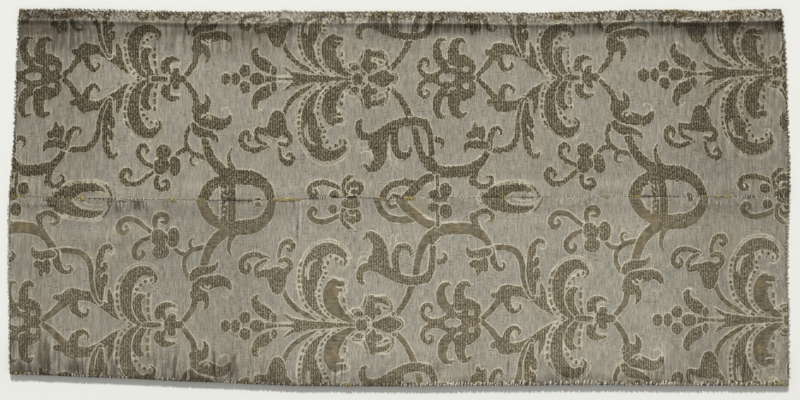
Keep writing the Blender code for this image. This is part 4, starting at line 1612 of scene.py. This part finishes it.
BOTTOM_RUNS = table(Run,
    (14, 786, DARK, 6.5, 1.2, 0.9), (14, 786, GREY, 3.4, 1.4, 0.8), (400, 520, WHITE, 2.8, 0.8, 1.3),
    (520, 770, WHITE, 5.0, 1.0, 1.3), (560, 700, GREY, 4.6, 1.2, 1.3), (12, 28, GOLD, 2.2, 0.8, 1.1),
    (20, 41, WHITE, 4.0, 0.4, 1.0), (48, 61, GOLD, 3.0, 1.0, 0.9), (71, 88, WHITE, 3.6, 0.2, 1.0),
    (98, 127, WHITE, 4.6, 0.3, 0.9), (157, 181, WHITE, 4.4, 0.2, 1.0), (183, 189, GOLD, 2.2, 0.4, 1.0),
    (222, 238, WHITE, 2.8, 0.4, 1.0), (226, 234, GOLD, 2.6, 0.4, 1.0), (244, 256, GOLD, 3.2, 0.3, 0.9),
    (262, 330, WHITE, 6.5, 0.4, 0.8), (340, 346, WHITE, 2.4, 0.3, 1.0), (346, 352, GOLD, 1.8, 0.3, 1.4),
    (355, 362, WHITE, 2.8, 0.3, 0.9), (385, 402, GOLD, 3.4, 0.5, 0.9), (415, 429, GOLD, 2.0, 0.4, 1.1),
    (438, 449, GOLD, 2.4, 0.6, 1.0), (444, 457, WHITE, 2.0, 0.3, 1.2), (470, 502, GOLD, 4.0, 0.5, 0.9),
    (522, 531, GOLD, 2.6, 0.5, 1.0), (540, 655, WHITE, 7.5, 0.4, 0.8), (660, 674, WHITE, 2.6, 0.3, 1.1),
    (672, 684, GOLD, 2.6, 0.5, 1.0), (690, 726, WHITE, 6.0, 0.4, 0.8), (730, 742, GOLD, 2.0, 0.3, 1.2),
    (744, 772, GOLD, 2.8, 0.5, 1.1), (744, 772, WHITE, 3.2, 0.5, 1.0), (774, 787, GOLD, 1.8, 0.5, 1.2),
)
TOP_RUNS = table(Run,
    (20, 24, GOLD, 1.6, 1.2, 1.2), (24, 780, DARK, 4.4, 2.4, 0.9), (22, 780, GREY, 5.2, 2.8, 0.9),
    (22, 64, WHITE, 5.2, 1.6, 0.8), (60, 86, DARK, 2.6, 1.6, 1.0), (112, 142, WHITE, 5.0, 1.5, 0.8),
    (180, 300, WHITE, 9.0, 1.8, 0.8), (205, 215, GOLD, 4.2, 1.4, 0.9), (389, 398, GOLD, 1.6, 1.4, 1.4),
    (400, 550, WHITE, 6.4, 0.8, 0.8), (554, 563, GOLD, 2.2, 0.4, 1.0), (592, 598, GOLD, 2.0, 0.4, 1.0),
    (600, 666, WHITE, 6.4, 0.8, 0.8), (667, 679, GOLD, 2.6, 0.4, 1.0), (719, 746, GOLD, 3.0, 0.6, 1.0),
    (749, 762, GOLD, 2.6, 0.5, 0.9),
)
# The cut ends, in squares up from the seam
LEFT_RUNS = table(Run,
    (-174, -120, GREY, 2.6, 1.2, 0.7), (-150, -20, WHITE, 2.2, 1.6, 0.6), (-130, -6, GREY, 2.4, 1.6, 0.6),
    (2, 40, GOLD, 2.6, 1.4, 0.8), (2, 184, DARK, 3.6, 1.6, 0.8), (110, 184, GREY, 3.0, 1.6, 0.7),
)
RIGHT_RUNS = table(Run,
    (-180, -6, GREY, 2.4, 1.4, 0.7), (-180, -20, WHITE, 4.4, 1.4, 0.7), (-60, 186, GOLD, 3.8, 1.4, 0.8),
    (4, 186, DARK, 3.0, 1.4, 0.8),
)
THREAD_RADIUS = 0.00036
TUBE_SIDES = 5
PINCH = 0.45            # how thick a thread's end is, of its middle
OFF_AXIS = (0.31, 0.17, 0.93)   # a direction in which no thread lies
END_REACH = 0.0012      # metres that a cut thread lies over the cloth and past its end, about
STITCH_REACH = 0.0012   # metres that a stitch reaches to each side of the seam
LEAST_STITCH = 0.86     # least height of a stitch, of the seam's folds
OVER_HEM = 0.6          # how far a thread's middle lies over a hem, of its radius
PATH_POINTS = 6
END_POINTS = 5
SEWING_SEED = 5
# How unevenly threads are set, as shares of what their own run says
STITCH_ENDS = (0.7, 1.1)
CUT_REACHES = (0.4, 1.5)
THREAD_LEANS = (0.5, 1.5)
THREAD_SIZES = (0.8, 1.25)
THREAD_STEPS = (0.6, 1.4)


def tube(verts, faces, path, radius):
    """A thread along a short path, pinched at both ends."""
    path = np.array(path)
    along = np.gradient(path, axis=0)
    along /= np.linalg.norm(along, axis=1)[:, None]
    first = len(verts)
    last = len(path) - 1
    for number, (point, direction) in enumerate(zip(path, along)):
        side = np.cross(direction, OFF_AXIS)
        side /= np.linalg.norm(side)
        over = np.cross(direction, side)
        thick = radius * (PINCH if number in (0, last) else 1.0)
        for k in range(TUBE_SIDES):
            turn = 2 * math.pi * k / TUBE_SIDES
            verts.append(point + thick * (side * math.cos(turn) + over * math.sin(turn)))
    for start in range(first, first + last * TUBE_SIDES, TUBE_SIDES):
        for k in range(TUBE_SIDES):
            a, b = start + k, start + (k + 1) % TUBE_SIDES
            faces.append((a, b, b + TUBE_SIDES, a + TUBE_SIDES))
    faces.append(tuple(first + k for k in reversed(range(TUBE_SIDES))))
    faces.append(tuple(first + last * TUBE_SIDES + k for k in range(TUBE_SIDES)))


def seam_path(border, x, lean, reach, radius, chance):
    """A stitch over the two folds that meet at the seam."""
    path = []
    start, stop = -reach * chance.uniform(*STITCH_ENDS), reach * chance.uniform(*STITCH_ENDS)
    for share in np.linspace(0, 1, PATH_POINTS):
        away = start + share * (stop - start)
        here = x + lean * (share - 0.5)
        height = max(float(roll_top(SEAM, np.array(abs(away)))), LEAST_STITCH * 2 * SEAM.radius)
        path.append((here, float(border.seam_y(here)) - away, height + radius * 0.5))
    return path


def hem_path(border, width, x, lean, first_turn, last_turn, radius):
    """A loose thread round a hem's fold from one angle to another, flat on from where it reaches the top."""
    path = []
    reach = width.hem.radius + radius * OVER_HEM
    for share in np.linspace(0, 1, PATH_POINTS):
        turn = math.radians(first_turn + share * (last_turn - first_turn))
        bent, beyond = min(turn, math.pi / 2), max(0.0, turn - math.pi / 2)
        here = x + lean * (share - 0.5)
        middle = float(border.outer_y(here)) - width.side * width.hem.radius
        path.append((here, middle + width.side * reach * (math.cos(bent) - beyond),
                     width.hem.radius + reach * math.sin(bent)))
    return path


def end_path(border, y, lean, turn, radius, chance):
    """A cut thread that lies out past one end of the cloth."""
    edge = float(border.right_x(y) if turn > 0 else border.left_x(y))
    reach = END_REACH * chance.uniform(*CUT_REACHES)
    path = []
    for share in np.linspace(0, 1, END_POINTS):
        height = (1 - share) * (CLOTH_THICKNESS + radius) + share * 1.5 * radius
        path.append((edge + turn * (share * 1.8 - 0.8) * reach, y + lean * (share ** 2 - 0.3), height))
    return path


def add_threads(name, runs, materials, make_path, chance, middle):
    """All the threads of some runs as one piece, each with its own lean, size and place."""
    verts, faces, kinds = [], [], []
    for run in runs:
        square = run.first + chance.uniform(0, run.pitch)
        while square < run.last:
            lean = run.lean * SQUARE * chance.uniform(*THREAD_LEANS)
            radius = THREAD_RADIUS * run.size * chance.uniform(*THREAD_SIZES)
            tube(verts, faces, make_path((square - middle) * SQUARE, lean, run.size, radius), radius)
            kinds += [run.thread] * (len(faces) - len(kinds))
            square += run.pitch * chance.uniform(*THREAD_STEPS)
    mesh = bpy.data.meshes.new(name)
    mesh.from_pydata([tuple(v) for v in verts], [], faces)
    for material in materials:
        mesh.materials.append(material)
    mesh.polygons.foreach_set("material_index", kinds)
    mesh.shade_smooth()
    return add_object(name, mesh)


def add_sewing(borders):
    """The seam's stitches, both hems' loose threads and both ends' cut threads, each lot one piece."""
    materials = [
        thread_look("gilt_thread", (104, 88, 46), (206, 190, 132), 0.5, 0.15),
        thread_look("white_thread", (176, 170, 154), (238, 234, 222), 0.6, 0.0),
        thread_look("dark_thread", (44, 38, 28), (84, 74, 54), 0.7, 0.0),
        thread_look("grey_thread", (126, 120, 106), (176, 168, 150), 0.6, 0.0),
    ]
    chance = random.Random(SEWING_SEED)
    upper, lower = borders

    def seam(x, lean, size, radius):
        return seam_path(upper, x, lean, STITCH_REACH * size, radius, chance)

    def bottom(x, lean, size, radius):
        first_turn, farthest = chance.uniform(5, 45), 150 if x > 0 else 110
        return hem_path(lower, LOWER, x, lean, first_turn, chance.uniform(70, farthest), radius)

    def top(x, lean, size, radius):
        first_turn = chance.uniform(-10, 40)
        return hem_path(upper, UPPER, x, lean, first_turn, chance.uniform(70, 120), radius)

    def cut_end(turn):
        return lambda y, lean, size, radius: end_path(
            upper if y > 0 else lower, y, lean * chance.choice((-1, 1)), turn, radius, chance)

    lots = (
        ("seam_sewing", SEAM_RUNS, seam, MIDDLE_SQUARE),
        ("bottom_loose_threads", BOTTOM_RUNS, bottom, MIDDLE_SQUARE),
        ("top_loose_threads", TOP_RUNS, top, MIDDLE_SQUARE),
        ("left_cut_threads", LEFT_RUNS, cut_end(-1), 0),
        ("right_cut_threads", RIGHT_RUNS, cut_end(1), 0))
    return [add_threads(name, runs, materials, make_path, chance, middle)
            for name, runs, make_path, middle in lots]


# The surface under the panel, the light and the camera
FRAME_MIDDLE = Place(x=0.0007, y=-0.0017)
FRAME_WIDTH = 0.592
LENS = 120
SENSOR = 36
CAMERA_HEIGHT = FRAME_WIDTH * LENS / SENSOR
FLOOR_HALF = 1.5
WINDOW_PLACE = (-0.5, 8.0, 5.6)
WINDOW_SIZE = 1.2
WINDOW_POWER = 917.0
SKY_STRENGTH = 0.40


def add_floor():
    mesh = bpy.data.meshes.new("floor")
    corners = [(x * FLOOR_HALF, y * FLOOR_HALF, 0) for x, y in ((-1, -1), (1, -1), (1, 1), (-1, 1))]
    mesh.from_pydata(corners, [], [(0, 1, 2, 3)])
    mesh.materials.append(floor_look())
    floor = add_object("floor", mesh)


def add_window():
    """One far lamp beyond the top edge, which faces the middle of the panel."""
    lamp = bpy.data.lights.new("window", "AREA")
    lamp.shape = "DISK"
    lamp.size = WINDOW_SIZE
    lamp.energy = WINDOW_POWER
    light = add_object("window", lamp)
    light.location = WINDOW_PLACE
    light.rotation_euler = light.location.to_track_quat("Z", "Y").to_euler()


def add_camera():
    data = bpy.data.cameras.new("camera")
    data.lens = LENS
    data.sensor_width = SENSOR
    camera = add_object("camera", data)
    camera.location = (FRAME_MIDDLE.x, FRAME_MIDDLE.y, CAMERA_HEIGHT)
    bpy.context.scene.camera = camera


def add_world():
    world = bpy.data.worlds.new("soft_light")
    world.use_nodes = True
    background = world.node_tree.nodes["Background"]
    background.inputs["Color"].default_value = (1.0, 1.0, 1.0, 1.0)
    background.inputs["Strength"].default_value = SKY_STRENGTH
    bpy.context.scene.world = world


CHART = Chart()
draw_all(CHART)
cloth_materials = [ground_look(), brocaded_look(), floats_look(), outline_look(), reverse_look()]
borders = [Border(width.node, width.side) for width in (UPPER, LOWER)]
for piece in add_sewing(borders):
    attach(piece, "root")
for width, flat_depth, border in ((UPPER, 0.155, borders[0]), (LOWER, 0.153, borders[1])):
    cloth = make_cloth(width, border, cloth_materials)
    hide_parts(width.node)
    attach(cloth, "root")

add_floor()
add_window()
add_world()
add_camera()
bpy.context.scene.view_settings.view_transform = "Standard"
